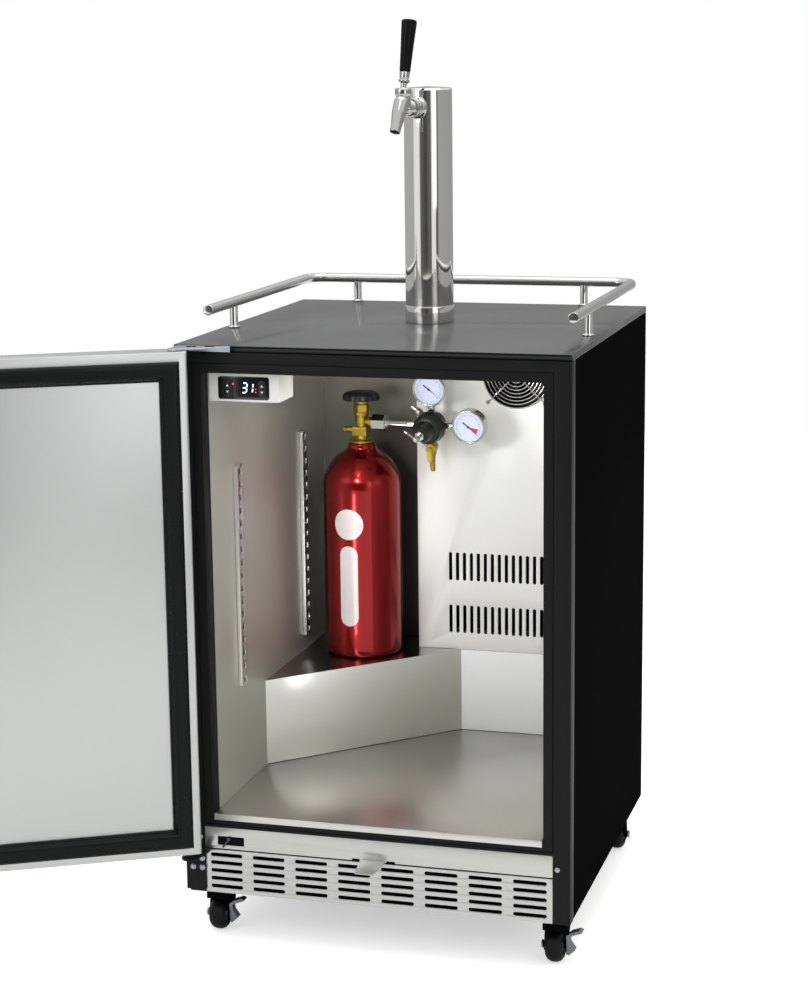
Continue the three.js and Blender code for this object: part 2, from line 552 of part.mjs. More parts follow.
// ---- gas cylinder, its valve and the regulator ----
function cylinder() {
  const { x, y, radius, neck, neckRadius } = CYLINDER;
  const base = HUMP.top + GAP;
  const wall = 5;
  // The shoulder: how far below the neck's top, and how wide, from the barrel up to the neck.
  const shoulder = [[70, radius], [60, 65.6], [51, 62.5], [41.5, 57.6], [32, 51], [22.5, 42.6],
    [15, 30], [9.5, neckRadius]];
  const outside = [[0, 0], [radius - 8, 0], [radius, 8],
    ...shoulder.map(([drop, r]) => [r, neck - drop]), [neckRadius, neck]];
  const bore = 12;
  const inside = [[0, wall], [radius - 8, wall], [radius - wall, wall + 5],
    ...shoulder.map(([drop, r]) => [Math.max(r - wall, bore), neck - drop - wall / 2]), [bore, neck]];
  piece("co2_cylinder", MATERIAL.red, turned([...outside, ...inside.reverse()], x, y, base, 24));

  // Valve, handwheel and regulator share one frame on the cylinder's axis, turned a little to the door.
  const head = new THREE.Group();
  head.position.set(x, y, base + neck + GAP);
  head.rotation.z = THREE.MathUtils.degToRad(-REGULATOR.turn);
  model.add(head);
  const { outlet } = REGULATOR;
  const stem = (low, high, r, sides = 16) => rod([0, 0, low], [0, 0, high], r, r, sides);
  piece("cylinder_valve", MATERIAL.brass, join(
    stem(0, 3, 21.3, 24), stem(2, 12, 10.5), block([-13, -12, 11], [13, 12, 27]),
    rod([-31, 0, 20], [0, 0, 20], 5, 5, 12), stem(26, 44, 10.2), stem(43, 51, 12.6), stem(50, 65, 13.8, 6),
    stem(64, 71, 10.2), rod([0, 0, outlet], [14, 0, outlet], 5.6, 5.6, 16),
    rod([13, 0, outlet], [20, 0, outlet], 8.6, 8.6, 16)), head);
  piece("cylinder_handwheel", MATERIAL.blackPlastic, turned([[0, 0], [30, 0], [31.8, 1.5], [31.2, 8],
    [27, 12.5], [19, 15], [0, 15]], 0, 0, 71 + GAP, 24), head);
  regulator(head, 20 + GAP);
}

function regulator(head, nut) {
  const { outlet, reach } = REGULATOR;
  const unit = new THREE.Group();
  unit.position.set(reach, 0, outlet);
  unit.rotation.x = THREE.MathUtils.degToRad(REGULATOR.tilt);
  head.add(unit);
  const bodyRadius = 21;
  const nutLength = 25;
  piece("regulator_inlet", MATERIAL.chrome, join(
    rod([nut - reach, 0, 0], [nut - reach + nutLength, 0, 0], 14.2, 14.2, 6),
    rod([nut - reach + nutLength - 4, 0, 0], [-bodyRadius - GAP, 0, 0], 5.3, 5.3, 16)), unit);
  // Body behind, a round bonnet in front of it, and the safety valve at the upper left.
  piece("regulator_body", MATERIAL.blackPaint, join(
    rod([0, 14, 0], [0, -8, 0], bodyRadius, bodyRadius, 24),
    rod([0, -7, 0], [0, -34, 0], 27, 24, 24),
    rod([0, -33, 0], [0, -60, 0], 17, 12, 20),
    rod([-13, 2, 14], [-34, 2, 30], 7, 7, 12)), unit);
  const bar = { y: -80, x: 20, z: 13 };
  piece("regulator_screw", MATERIAL.chrome, join(
    rod([0, -60 - GAP, 0], [0, bar.y - 4, 0], 4.6, 4.6, 12),
    rod([-bar.x, bar.y, bar.z], [bar.x, bar.y, -bar.z], 2, 2, 12),
    new THREE.SphereGeometry(6, 12, 8).translate(0, bar.y, 0)), unit);
  const gauge = (name, x0, z0, stem) => piece(name, MATERIAL.dial, join(
    rod([x0, 5, z0], [x0, -17, z0], 29, 29, 28), stem), unit);
  const stemEnd = bodyRadius + GAP;
  gauge("gauge_outlet", 3, 66, rod([0, 2, stemEnd], [0, 2, 44], 6.5, 6.5, 12));
  gauge("gauge_cylinder", 68.5, 4.5, rod([stemEnd, 2, 0], [46, 2, 0], 6.5, 6.5, 12));
  // The shutoff hangs under the body, a little to the left of its middle.
  const tap = { x: -3, z: -39 };
  piece("shutoff_valve", MATERIAL.brass, join(
    rod([tap.x, 2, -stemEnd], [tap.x, 2, tap.z - 14], 7, 7, 16),
    rod([tap.x, -9, tap.z], [tap.x, 9, tap.z], 9, 9, 16),
    rod([tap.x, 0, tap.z - 12], [tap.x, 0, tap.z - 41], 5.4, 4, 12)), unit);
  piece("shutoff_lever", MATERIAL.brass, join(
    rod([tap.x, -9 - GAP, tap.z], [tap.x, -14, tap.z], 4.5, 4.5, 12),
    block([tap.x - 4, -14, tap.z - 22], [tap.x + 4, -11.5, tap.z + 2])), unit);
}

// ---- casters ----
function casters() {
  const { height, wheel, width } = CASTER;
  const axleZ = -height + wheel;
  const yoke = { half: 18, top: -14, bottom: -25, thick: 2.5 };
  for (const { name, x, y, axleY } of casterPlaces()) {
    const legX = width / 2 + 1.2;
    const front = Math.min(y - 15, axleY - 13);
    const back = Math.max(y + 15, axleY + 13);
    const bridge = block([x - yoke.half, front, yoke.bottom], [x + yoke.half, back, yoke.top]);
    const leg = (side) => {
      const inner = x + side * legX;
      const outer = inner + side * yoke.thick;
      return sidePlate([[y - 15, -16], [y + 15, -16], [axleY + 8, axleZ - 7], [axleY - 8, axleZ - 7]],
        Math.min(inner, outer), Math.max(inner, outer));
    };
    const boltEnd = legX + 7;
    piece(`caster_fork_${name}`, MATERIAL.blackPaint, join(bridge, leg(-1), leg(1),
      rod([x, y, -15], [x, y, -GAP], 17, 21, 16),
      rod([x - boltEnd, axleY, axleZ], [x + boltEnd, axleY, axleZ], 4, 4, 12)));
    const tyre = turned([[4.5, -width / 2], [wheel - 5, -width / 2], [wheel, -width / 2 + 6],
      [wheel, width / 2 - 6], [wheel - 5, width / 2], [4.5, width / 2], [4.5, -width / 2]], 0, 0, 0, 24);
    piece(`caster_wheel_${name}`, MATERIAL.rubber, tyre.rotateY(Math.PI / 2).translate(x, axleY, axleZ));
    if (name.startsWith("front")) brakeLever(name, x + legX + yoke.thick + GAP, axleY, axleZ);
  }
}

// A bent cam that turns on the axle's end outside the fork, with its tread reaching out sideways.
function brakeLever(name, x, y, z) {
  const outline = [[0, -10], [4, -12], [14, -3], [6, 8], [5, 17], [12, 20.5], [24, 25], [25.5, 27.5],
    [20, 29.5], [8, 25], [2, 20], [0, 20]];
  const lever = facePlate(outline.map(([across, up]) => [x + across, z + up]), y - 9, y + 5);
  const pocket = rod([x - 5, y, z], [x + 5, y, z], 4 + GAP, 4 + GAP, 16);
  piece(`brake_lever_${name}`, MATERIAL.zinc, cut(lever, pocket));
}

cabinetBody();
interior();
controller();
lowerFront();
hingeBrackets();
door();
guardRail();
towerAndTap();
cylinder();
casters();

// The origin goes to the middle of the whole object's box, at the floor.
const bounds = new THREE.Box3().setFromObject(model, true);
model.position.set(-(bounds.min.x + bounds.max.x) / 2, -(bounds.min.y + bounds.max.y) / 2, -bounds.min.z);
const kegerator = new THREE.Group();
kegerator.add(model);
kegerator.updateMatrixWorld(true);
export default kegerator;
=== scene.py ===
"""Looks of a kegerator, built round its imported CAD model.

Shapes are drawn in the cabinet's own millimetres: x = 0 on its centre line, y = 0 on the front frame's face,
z = 0 under the base pan, with the door side facing -y.
"""

import math

import bmesh
import bpy
from mathutils import Matrix, Vector
from mathutils.geometry import tessellate_polygon


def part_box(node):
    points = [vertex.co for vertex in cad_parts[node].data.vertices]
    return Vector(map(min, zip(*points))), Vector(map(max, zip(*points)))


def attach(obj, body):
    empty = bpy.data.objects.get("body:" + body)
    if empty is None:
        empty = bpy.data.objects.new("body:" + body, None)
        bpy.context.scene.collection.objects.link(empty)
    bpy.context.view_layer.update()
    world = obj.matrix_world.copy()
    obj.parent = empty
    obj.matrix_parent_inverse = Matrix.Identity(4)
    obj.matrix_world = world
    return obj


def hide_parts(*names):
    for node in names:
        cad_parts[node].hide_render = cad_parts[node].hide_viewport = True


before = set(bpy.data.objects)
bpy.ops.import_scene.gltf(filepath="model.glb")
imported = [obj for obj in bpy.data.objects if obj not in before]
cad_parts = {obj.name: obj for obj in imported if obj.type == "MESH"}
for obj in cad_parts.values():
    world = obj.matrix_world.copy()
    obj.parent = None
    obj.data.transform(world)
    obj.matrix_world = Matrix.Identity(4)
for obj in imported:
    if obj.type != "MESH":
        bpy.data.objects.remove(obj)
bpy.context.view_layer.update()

MM = 0.001  # in metres
RELIEF = 0.0002  # greatest depth of a material's relief, in metres
worktop_low, worktop_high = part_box("worktop")
pan_low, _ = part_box("base_pan")
ORIGIN = Vector(((worktop_low.x + worktop_high.x) / 2, worktop_low.y, pan_low.z))
CABINET = Matrix.Translation(ORIGIN) @ Matrix.Scale(MM, 4)

# ---- driving dimensions, in millimetres and degrees ----
HALF = 301.5
DEPTH = 617
HEIGHT = 857
GAP = 0.3
SHEET = 1.2
LINER_HALF = 258.8
CEILING = 817
OPENING = {"half": 260, "bottom": 118.8, "top": 815.4}
FLOOR_TOP = 129.2
FRAME_DEPTH = 25
WALL_TOP = 846.7
DUCT_FACE = 514
DUCT_LEFT = -70
HUMP_TOP = 272
FAN = Vector((103, DUCT_FACE, 751))
FAN_HOLE = 58.5
FAN_FEET = 68
CYLINDER = Vector((-156, 475, HUMP_TOP + GAP))
NECK = 362
REGULATOR = {"outlet": 34, "reach": 127, "turn": -5, "tilt": 8}
TOWER = {"y": 345, "turn": -10, "radius": 38.1, "height": 365}
TAP = {"height": 337, "reach": -88, "pivot": 365, "lever": 393, "handle": 473, "lean": -13}
DOOR = {"bottom": 80, "top": 853, "inner": -12, "outer": -60, "pivot": Vector((-286, -36, 0)), "open": -151.4}
CASTER = {"radius": 25.4, "width": 27, "axle": -51.6}

IN_TOWER = Matrix.Translation((0, TOWER["y"], HEIGHT)) @ Matrix.Rotation(math.radians(TOWER["turn"]), 4, "Z")
IN_TAP = (IN_TOWER @ Matrix.Translation((0, TAP["reach"], TAP["pivot"]))
          @ Matrix.Rotation(math.radians(TAP["lean"]), 4, "X"))
IN_HEAD = (Matrix.Translation(CYLINDER + Vector((0, 0, NECK + GAP)))
           @ Matrix.Rotation(math.radians(REGULATOR["turn"]), 4, "Z"))
IN_REGULATOR = (IN_HEAD @ Matrix.Translation((REGULATOR["reach"], 0, REGULATOR["outlet"]))
                @ Matrix.Rotation(math.radians(REGULATOR["tilt"]), 4, "X"))
IN_DOOR = (Matrix.Translation(DOOR["pivot"]) @ Matrix.Rotation(math.radians(DOOR["open"]), 4, "Z")
           @ Matrix.Translation(-DOOR["pivot"]))
X, Y, Z = Vector((1, 0, 0)), Vector((0, 1, 0)), Vector((0, 0, 1))


# ---- camera ----
def add_camera():
    place = {"x": 937.2, "y": -3118.1, "z": 1288.2}
    yaw, pitch, roll = (math.radians(angle) for angle in (15.852, 11.37, -0.649))
    forward = Vector((-math.sin(yaw) * math.cos(pitch), math.cos(yaw) * math.cos(pitch), -math.sin(pitch)))
    right = Vector((math.cos(yaw), math.sin(yaw), 0))
    up = right.cross(forward)
    tilted_right = math.cos(roll) * right + math.sin(roll) * up
    tilted_up = math.cos(roll) * up - math.sin(roll) * right
    data = bpy.data.cameras.new("camera")
    data.sensor_width = 36
    data.lens = 81.32
    camera = bpy.data.objects.new("camera", data)
    turn = Matrix((tilted_right, tilted_up, -forward)).transposed().to_4x4()
    camera.matrix_world = Matrix.Translation(CABINET @ Vector(place.values())) @ turn
    bpy.context.scene.collection.objects.link(camera)
    bpy.context.scene.camera = camera


# ---- materials ----
def linear(code):
    """A colour written as 0xRRGGBB, in linear light."""
    channels = [(code >> shift & 255) / 255 for shift in (16, 8, 0)]
    return [c / 12.92 if c < 0.04045 else ((c + 0.055) / 1.055) ** 2.4 for c in channels] + [1.0]


def add_node(tree, kind, inputs, **settings):
    """A shader node with its settings, and with its inputs: each a value or another node's output."""
    node = tree.nodes.new(f"ShaderNode{kind}")
    for name, value in settings.items():
        setattr(node, name, value)
    for socket, value in inputs.items():
        if isinstance(value, bpy.types.NodeSocket):
            tree.links.new(value, node.inputs[socket])
        else:
            node.inputs[socket].default_value = value
    return node


def surface(name, code, roughness, metallic=0.0, grain=300, tone=0.1, spread=0.05, bump=0.02, **sockets):
    """A material with a fine noise, stretched by its grain (cycles a metre), and a broad one. Both vary its
    tone and roughness, and the fine one its relief."""
    made = bpy.data.materials.new(name)
    made.use_nodes = True
    tree = made.node_tree
    shader = tree.nodes["Principled BSDF"]
    shader.inputs["Metallic"].default_value = metallic
    for socket, value in sockets.items():
        shader.inputs[socket.replace("_", " ")].default_value = value
    place = add_node(tree, "TexCoord", {}).outputs["Object"]
    if isinstance(grain, (int, float)):
        grain = (grain, grain, grain)
    stretched = add_node(tree, "Mapping", {"Vector": place, "Scale": grain}).outputs["Vector"]
    fine = add_node(tree, "TexNoise", {"Vector": stretched, "Scale": 1.0, "Detail": 4.0}).outputs["Fac"]
    broad = add_node(tree, "TexNoise", {"Vector": place, "Scale": 6.0, "Detail": 3.0}).outputs["Fac"]
    half = add_node(tree, "Math", {0: fine, 1: 0.5}, operation="MULTIPLY").outputs[0]
    both = add_node(tree, "Math", {0: broad, 1: 0.5, 2: half}, operation="MULTIPLY_ADD").outputs[0]
    colour = linear(code)[:3]
    darker = [c * (1 - tone) for c in colour] + [1.0]
    lighter = [min(c * (1 + tone), 1) for c in colour] + [1.0]
    mix = add_node(tree, "Mix", {"A": darker, "B": lighter, "Factor": both}, data_type="RGBA")
    smoothest, roughest = max(roughness - spread, 0.02), roughness + spread
    rough = add_node(tree, "MapRange", {"Value": both, "From Min": 0.3, "From Max": 0.7,
                                        "To Min": smoothest, "To Max": roughest})
    relief = add_node(tree, "Bump", {"Strength": bump, "Distance": RELIEF, "Height": fine})
    tree.links.new(mix.outputs["Result"], shader.inputs["Base Color"])
    tree.links.new(rough.outputs["Result"], shader.inputs["Roughness"])
    tree.links.new(relief.outputs["Normal"], shader.inputs["Normal"])
    return made


def glow(name, code, strength):
    return surface(name, code, 0.4, tone=0.02, Emission_Color=linear(code), Emission_Strength=strength)


ACROSS, UPRIGHT, INWARDS = (8, 8, 900), (900, 900, 8), (8, 900, 900)  # ways of brushing steel

PAINT = surface("black_paint", 0x0A0A0B, 0.42, grain=900, bump=0.12, Specular_IOR_Level=0.0, Coat_Weight=0.01,
                Coat_Roughness=0.35)
FRAME_PLASTIC = surface("black_frame", 0x151516, 0.45, grain=700, bump=0.1, Specular_IOR_Level=0.12)
WORKTOP = surface("worktop_laminate", 0x2C2D2F, 0.36, grain=1200, tone=0.12, bump=0.12,
                  Specular_IOR_Level=0.25, Coat_Weight=0.35, Coat_Roughness=0.12)
# A near-black strip on the worktop's front face: painted shade.
WORKTOP_SHADE_STRIP = surface("worktop_lip_painted_shade", 0x08080A, 0.5, grain=1200, Specular_IOR_Level=0.1)
STEEL = surface("stainless_across", 0xDEDEDC, 0.3, 1.0, ACROSS, 0.05, 0.06, 0.05)
STEEL_UP = surface("stainless_upright", 0xF1F1ED, 0.44, 0.6, UPRIGHT, 0.02, 0.03, 0.0)
LINER_STEEL = surface("stainless_liner", 0xCBCBC3, 0.45, 0.8, UPRIGHT, 0.05, 0.05, 0.01)
# The liner's back wall: a darker copy of the liner's steel, painted shade.
SHADED_BACK_STEEL = surface("stainless_back_painted_shade", 0x75746D, 0.4, 1.0, UPRIGHT, 0.06)
COVER_STEEL = surface("stainless_cover", 0xDADAD5, 0.42, 0.8, ACROSS, 0.03, 0.04, 0.01)
# A darker, glossier copy of the cover's steel for its top, painted shade, and a lighter, less metallic one
# for its straight end, painted light.
SHADED_COVER_TOP = surface("stainless_cover_top_painted_shade", 0x9C9B95, 0.2, 1.0, ACROSS, 0.03, 0.04, 0.01)
LIT_COVER_END = surface("stainless_cover_end_painted_light", 0xF4F5F5, 0.5, 0.2, ACROSS, 0.02, 0.04, 0.0)
STEEL_FLOOR = surface("stainless_floor", 0xD4D3CE, 0.36, 1.0, INWARDS, 0.03, 0.04, 0.01)
DOOR_STEEL = surface("stainless_door", 0xC3C5C4, 0.34, 1.0, ACROSS, 0.04, 0.05, 0.04)
KICK_STEEL = surface("stainless_kick", 0xC6C6C3, 0.32, 1.0, ACROSS, 0.02, 0.03)
BRAKE = surface("brake_plate", 0x7A7E82, 0.34, 1.0, tone=0.12, spread=0.08, bump=0.04)
CAP = surface("tower_cap", 0x8C8C8A, 0.2, 1.0, 600, 0.03, bump=0.01)
SATIN = surface("satin_tube", 0xC9C9C6, 0.22, 1.0, 600, 0.04, bump=0.03)
CHROME = surface("chrome", 0xDDDCD8, 0.05, 1.0, 40, 0.02, 0.015, 0.0)
FAUCET = surface("faucet_chrome", 0xB9B9B5, 0.06, 1.0, 40, 0.02, 0.015, 0.0)
ZINC = surface("zinc", 0xA9AEB3, 0.3, 1.0, tone=0.12, spread=0.08, bump=0.04)
BRASS = surface("brass", 0xC0A644, 0.3, 1.0, 200, 0.08, 0.05, 0.01)
RED = surface("cylinder_lacquer", 0x97080E, 0.22, 0.92, 1500, 0.1, 0.04, Coat_Weight=0.55,
              Coat_Roughness=0.05)
BLACK = surface("black_plastic", 0x141414, 0.38, grain=600, bump=0.06)
HANDLE = surface("black_handle", 0x050505, 0.35, grain=600, bump=0.03, Specular_IOR_Level=0.12)
# Near-black painted shade, for slits, recesses, the backs of holes, the spout's bore and the coils, fan and
# motor seen through slots.
SHADE_BLACK = surface("painted_shade_black", 0x070707, 0.7, tone=0.2, Specular_IOR_Level=0.1)
GLOSS_BLACK = surface("black_gloss", 0x0A0A0A, 0.12, grain=200, bump=0.0, Coat_Weight=0.6)
WHITE = surface("white_plastic", 0xE4E4DF, 0.4, grain=700, tone=0.02, bump=0.05)
RUBBER = surface("gasket_rubber", 0x08090A, 0.28, tone=0.15, spread=0.08, bump=0.06, Specular_IOR_Level=0.15)
TYRE = surface("tyre_rubber", 0x050505, 0.42, grain=500, tone=0.2, spread=0.1, bump=0.1,
               Specular_IOR_Level=0.2)
CAST = surface("cast_shell", 0x0C0C0D, 0.45, grain=250, tone=0.2, spread=0.1, bump=0.2)
DIAL = surface("dial_white", 0xC6CDE4, 0.35, grain=400, tone=0.02, bump=0.0, Coat_Weight=0.6)
INK = surface("dial_ink", 0x2B2B33, 0.4, tone=0.05)
RED_INK = surface("red_ink", 0xC4343A, 0.4, tone=0.05)
LABEL = surface("label_white", 0xE9DFE0, 0.35, grain=500, tone=0.03, Coat_Weight=0.5)
DIGIT = glow("display_digits", 0xBFD4FF, 2.0)
LAMP = glow("display_lamps", 0xFF4A5A, 1.4)
ICON = surface("key_icons", 0xD9E6EA, 0.4, tone=0.02)


# ---- shapes ----
def bezier(a, corner, b, steps):
    """Points along a curve from a to b that bends at the corner."""
    shares = [i / steps for i in range(steps + 1)]
    return [a * (1 - t) ** 2 + corner * 2 * t * (1 - t) + b * t * t for t in shares]


def filleted(points, radius, steps=4, closed=True):
    """The same outline with its corners rounded off."""
    points = [Vector(p) for p in points]
    count = len(points)
    result = []
    for i, here in enumerate(points):
        if not closed and i in (0, count - 1):
            result.append(here)
            continue
        before, after = points[i - 1] - here, points[(i + 1) % count] - here
        start, end = (here + way.normalized() * min(radius, way.length * 0.48) for way in (before, after))
        result += bezier(start, here, end, steps)
    return result


def rectangle(x0, y0, x1, y1, radius=0.0, steps=5):
    corners = [(x0, y0), (x1, y0), (x1, y1), (x0, y1)]
    if not radius:
        return [Vector(c) for c in corners]
    centres = [(x1 - radius, y0 + radius, -90), (x1 - radius, y1 - radius, 0),
               (x0 + radius, y1 - radius, 90), (x0 + radius, y0 + radius, 180)]
    return [Vector((x, y)) + radius * compass(start + 90 * i / steps) for x, y, start in centres
            for i in range(steps + 1)]


def compass(degrees):
    return Vector((math.cos(math.radians(degrees)), math.sin(math.radians(degrees))))


def circle(x, y, radius, sides=64):
    return [Vector((x, y)) + radius * compass(360 * i / sides) for i in range(sides)]


def facing(loop, sign):
    """The loop as 2D points, counterclockwise for sign 1 and clockwise for -1."""
    loop = [Vector((p[0], p[1])) for p in loop]
    area = sum(a.cross(b) for a, b in zip(loop, loop[1:] + loop[:1]))
    return loop if area * sign > 0 else loop[::-1]


def inset(loop, amount):
    """The outline moved into its material. A hole runs the other way round, so it widens."""
    result = []
    for before, here, after in zip(loop[-1:] + loop[:-1], loop, loop[1:] + loop[:1]):
        first, second = (here - before).normalized().orthogonal(), (after - here).normalized().orthogonal()
        middle = (first + second).normalized()
        result.append(here + middle * amount / max(middle.dot(first), 0.4))
    return result


LIE = {"plan": lambda u, v, w: (u, v, w), "front": lambda u, v, w: (u, w, v),
       "side": lambda u, v, w: (w, u, v)}


def bridge(mesh, rings):
    """Closes the side between each ring of vertices and the next."""
    for first, second in zip(rings, rings[1:]):
        for i in range(len(first)):
            j = (i + 1) % len(first)
            mesh.faces.new((first[i], first[j], second[j], second[i]))


def outward(mesh):
    """The finished shape, with its faces turned outwards."""
    bmesh.ops.recalc_face_normals(mesh, faces=mesh.faces)
    return mesh


def prism(outline, low, high, lie="plan", holes=(), edge=0.0, steps=2):
    """An outline with holes, extruded from low to high with rounded edges. It lies in plan as (x, y), on the
    front as (x, z) or on the side as (y, z)."""
    loops = [facing(outline, 1)] + [facing(hole, -1) for hole in holes]
    levels = [(0.0, low), (0.0, high)]
    if edge:
        quarter = [math.radians(90 * i / steps) for i in range(steps + 1)]
        levels = [(edge * (1 - math.sin(a)), low + edge * (1 - math.cos(a))) for a in quarter]
        levels += [(back, high + low - height) for back, height in reversed(levels)]
    mesh = bmesh.new()
    rings = []
    for loop in loops:
        outlines = [(inset(loop, back) if back else loop, height) for back, height in levels]
        rings.append([[mesh.verts.new(LIE[lie](p.x, p.y, height)) for p in points]
                      for points, height in outlines])
    for ring in rings:
        bridge(mesh, ring)
    for level in (0, -1):
        verts = [vert for ring in rings for vert in ring[level]]
        flat = [[Vector((*p, 0)) for p in (inset(loop, levels[0][0]) if edge else loop)] for loop in loops]
        for triangle in tessellate_polygon(flat):
            mesh.faces.new([verts[i] for i in triangle])
    return outward(mesh)


def block(low, high, edge=0.5, steps=2):
    mesh = bmesh.new()
    low, high = Vector(low), Vector(high)
    size = high - low
    bmesh.ops.create_cube(mesh, size=1.0)
    bmesh.ops.transform(mesh, matrix=Matrix.LocRotScale((low + high) / 2, None, size), verts=mesh.verts)
    if edge:
        bmesh.ops.bevel(mesh, geom=mesh.edges[:], offset=edge, segments=steps, profile=0.5, affect="EDGES")
    return mesh


def turned(profile, start=(0, 0, 0), axis=Z, segments=64, flute=(0, 0, 0, 0)):
    """A turned solid from (radius, distance along the axis) points. A profile that doesn't end on the axis
    closes on itself. Flute is (count, depth, from, to): grooves along the axis, between two distances."""
    grooves, depth, fluted_from, fluted_to = flute
    mesh = bmesh.new()
    start, axis = Vector(start), Vector(axis).normalized()
    side = (X if abs(axis.x) < 0.8 else Y).cross(axis).normalized()
    other = axis.cross(side)
    rings = []
    for radius, distance in profile:
        if radius < 1e-6:
            rings.append([mesh.verts.new(start + axis * distance)])
            continue
        ring = []
        for i in range(segments):
            angle = 2 * math.pi * i / segments
            out = radius
            if fluted_from <= distance <= fluted_to:
                out -= depth * (0.5 + 0.5 * math.cos(grooves * angle))
            spoke = math.cos(angle) * side + math.sin(angle) * other
            ring.append(mesh.verts.new(start + axis * distance + out * spoke))
        rings.append(ring)
    pairs = list(zip(rings, rings[1:]))
    if len(rings[0]) > 1 and len(rings[-1]) > 1:
        pairs.append((rings[-1], rings[0]))
    for lower, upper in pairs:
        for i in range(segments):
            j = (i + 1) % segments
            corners = list(dict.fromkeys([lower[i % len(lower)], lower[j % len(lower)],
                                          upper[j % len(upper)], upper[i % len(upper)]]))
            if len(corners) > 2:
                mesh.faces.new(corners)
    return outward(mesh)


def smooth_turned(profile, radius=0.8, steps=3, **settings):
    """A turned solid with the corners of its profile rounded off."""
    return turned([tuple(p) for p in filleted(profile, radius, steps, closed=False)], **settings)


def rod(start, end, radius, edge=0.4, segments=48):
    start, end = Vector(start), Vector(end)
    length = (end - start).length
    profile = [(0, 0), (radius, 0), (radius, length), (0, length)]
    return smooth_turned(profile, edge, start=start, axis=end - start, segments=segments)


def hexagon(start, end, across, edge=0.8):
    """A hexagonal nut or bar with chamfered ends, across flats in millimetres."""
    start, end = Vector(start), Vector(end)
    length = (end - start).length
    corner = across / math.sqrt(3)
    profile = [(0, 0), (corner - edge, 0), (corner, edge), (corner, length - edge), (corner - edge, length),
               (0, length)]
    return turned(profile, start, end - start, segments=6)


def ball(centre, radius, segments=32):
    angles = [math.radians(a) for a in range(0, 181, 12)]
    profile = [(radius * math.sin(a), -radius * math.cos(a)) for a in angles]
    profile[0], profile[-1] = (0, -radius), (0, radius)
    return turned(profile, centre, Z, segments)


def tube(points, radius, segments=24):
    """A round tube along a path, with flat ends."""
    points = [Vector(p) for p in points]
    mesh = bmesh.new()
    rings = []
    side = None
    angles = [2 * math.pi * k / segments for k in range(segments)]
    for i, here in enumerate(points):
        along = (points[min(i + 1, len(points) - 1)] - points[max(i - 1, 0)]).normalized()
        if side is None:
            side = (Z if abs(along.z) < 0.9 else X).cross(along).normalized()
        side = (side - along * side.dot(along)).normalized()
        other = along.cross(side)
        rings.append([mesh.verts.new(here + radius * (math.cos(a) * side + math.sin(a) * other))
                      for a in angles])
    bridge(mesh, rings)
    for ring in (rings[0], rings[-1]):
        mesh.faces.new(ring)
    return outward(mesh)


def torus(centre, axis, radius, wire, segments=72, sides=10):
    angles = [2 * math.pi * i / sides for i in range(sides)]
    profile = [(radius + wire * math.cos(a), wire * math.sin(a)) for a in angles]
    return turned(profile, centre, axis, segments)


def mirrored(profile):
    """Half a profile and its mirror image about distance 0."""
    return profile + [(radius, -distance) for radius, distance in reversed(profile)]


def moved(mesh, matrix):
    mesh.transform(matrix)
    return mesh


def from_node(node, edge, steps=2):
    """A copy of a CAD node's shape, in cabinet millimetres, with its sharp edges rounded."""
    mesh = bmesh.new()
    mesh.from_mesh(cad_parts[node].data)
    mesh.transform(CABINET.inverted())
    bmesh.ops.remove_doubles(mesh, verts=mesh.verts, dist=0.01)
    bmesh.ops.dissolve_limit(mesh, angle_limit=math.radians(1), verts=mesh.verts, edges=mesh.edges)
    sharp = [e for e in mesh.edges if len(e.link_faces) == 2 and e.calc_face_angle() > math.radians(40)]
    if edge:
        bmesh.ops.bevel(mesh, geom=sharp, offset=edge, segments=steps, profile=0.5, affect="EDGES",
                        clamp_overlap=True)
    return mesh


class Piece:
    """Parts drawn in cabinet millimetres, or in a turned group of it, and joined as one object."""

    def __init__(self, name, place=None):
        self.name = name
        self.place = place or Matrix.Identity(4)
        self.mesh = bmesh.new()
        self.materials = []

    def add(self, material, *parts):
        if material not in self.materials:
            self.materials.append(material)
        for part in parts:
            for face in part.faces:
                face.material_index = self.materials.index(material)
                face.smooth = True
            data = bpy.data.meshes.new("part")
            part.to_mesh(data)
            part.free()
            self.mesh.from_mesh(data)
            bpy.data.meshes.remove(data)
        return self

    def done(self, body, slot, *nodes):
        self.mesh.transform(CABINET @ self.place)
        data = bpy.data.meshes.new(self.name)
        self.mesh.to_mesh(data)
        self.mesh.free()
        for material in self.materials:
            data.materials.append(material)
        data.set_sharp_from_angle(angle=math.radians(38))
        made = bpy.data.objects.new(self.name, data)
        bpy.context.scene.collection.objects.link(made)
        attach(made, body)
        if nodes:
            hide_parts(*nodes)


def skin(node, body, slot, material, *parts, place=None):
    """A finer piece of one material over the CAD node of its name."""
    Piece(f"{node}_skin", place).add(material, *parts).done(body, slot, node)


def paint(material, *nodes):
    """A CAD node that stays gets its material."""
    for node in nodes:
        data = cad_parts[node].data
        data.materials.clear()
        data.materials.append(material)


def pan_screw(x, y, z, axis, radius=4.2):
    """A pan head standing out along its axis."""
    profile = [(0, 0), (radius, 0), (radius * 0.95, radius * 0.45), (0, radius * 0.62)]
    return smooth_turned(profile, radius * 0.4, start=(x, y, z), axis=axis, segments=32)


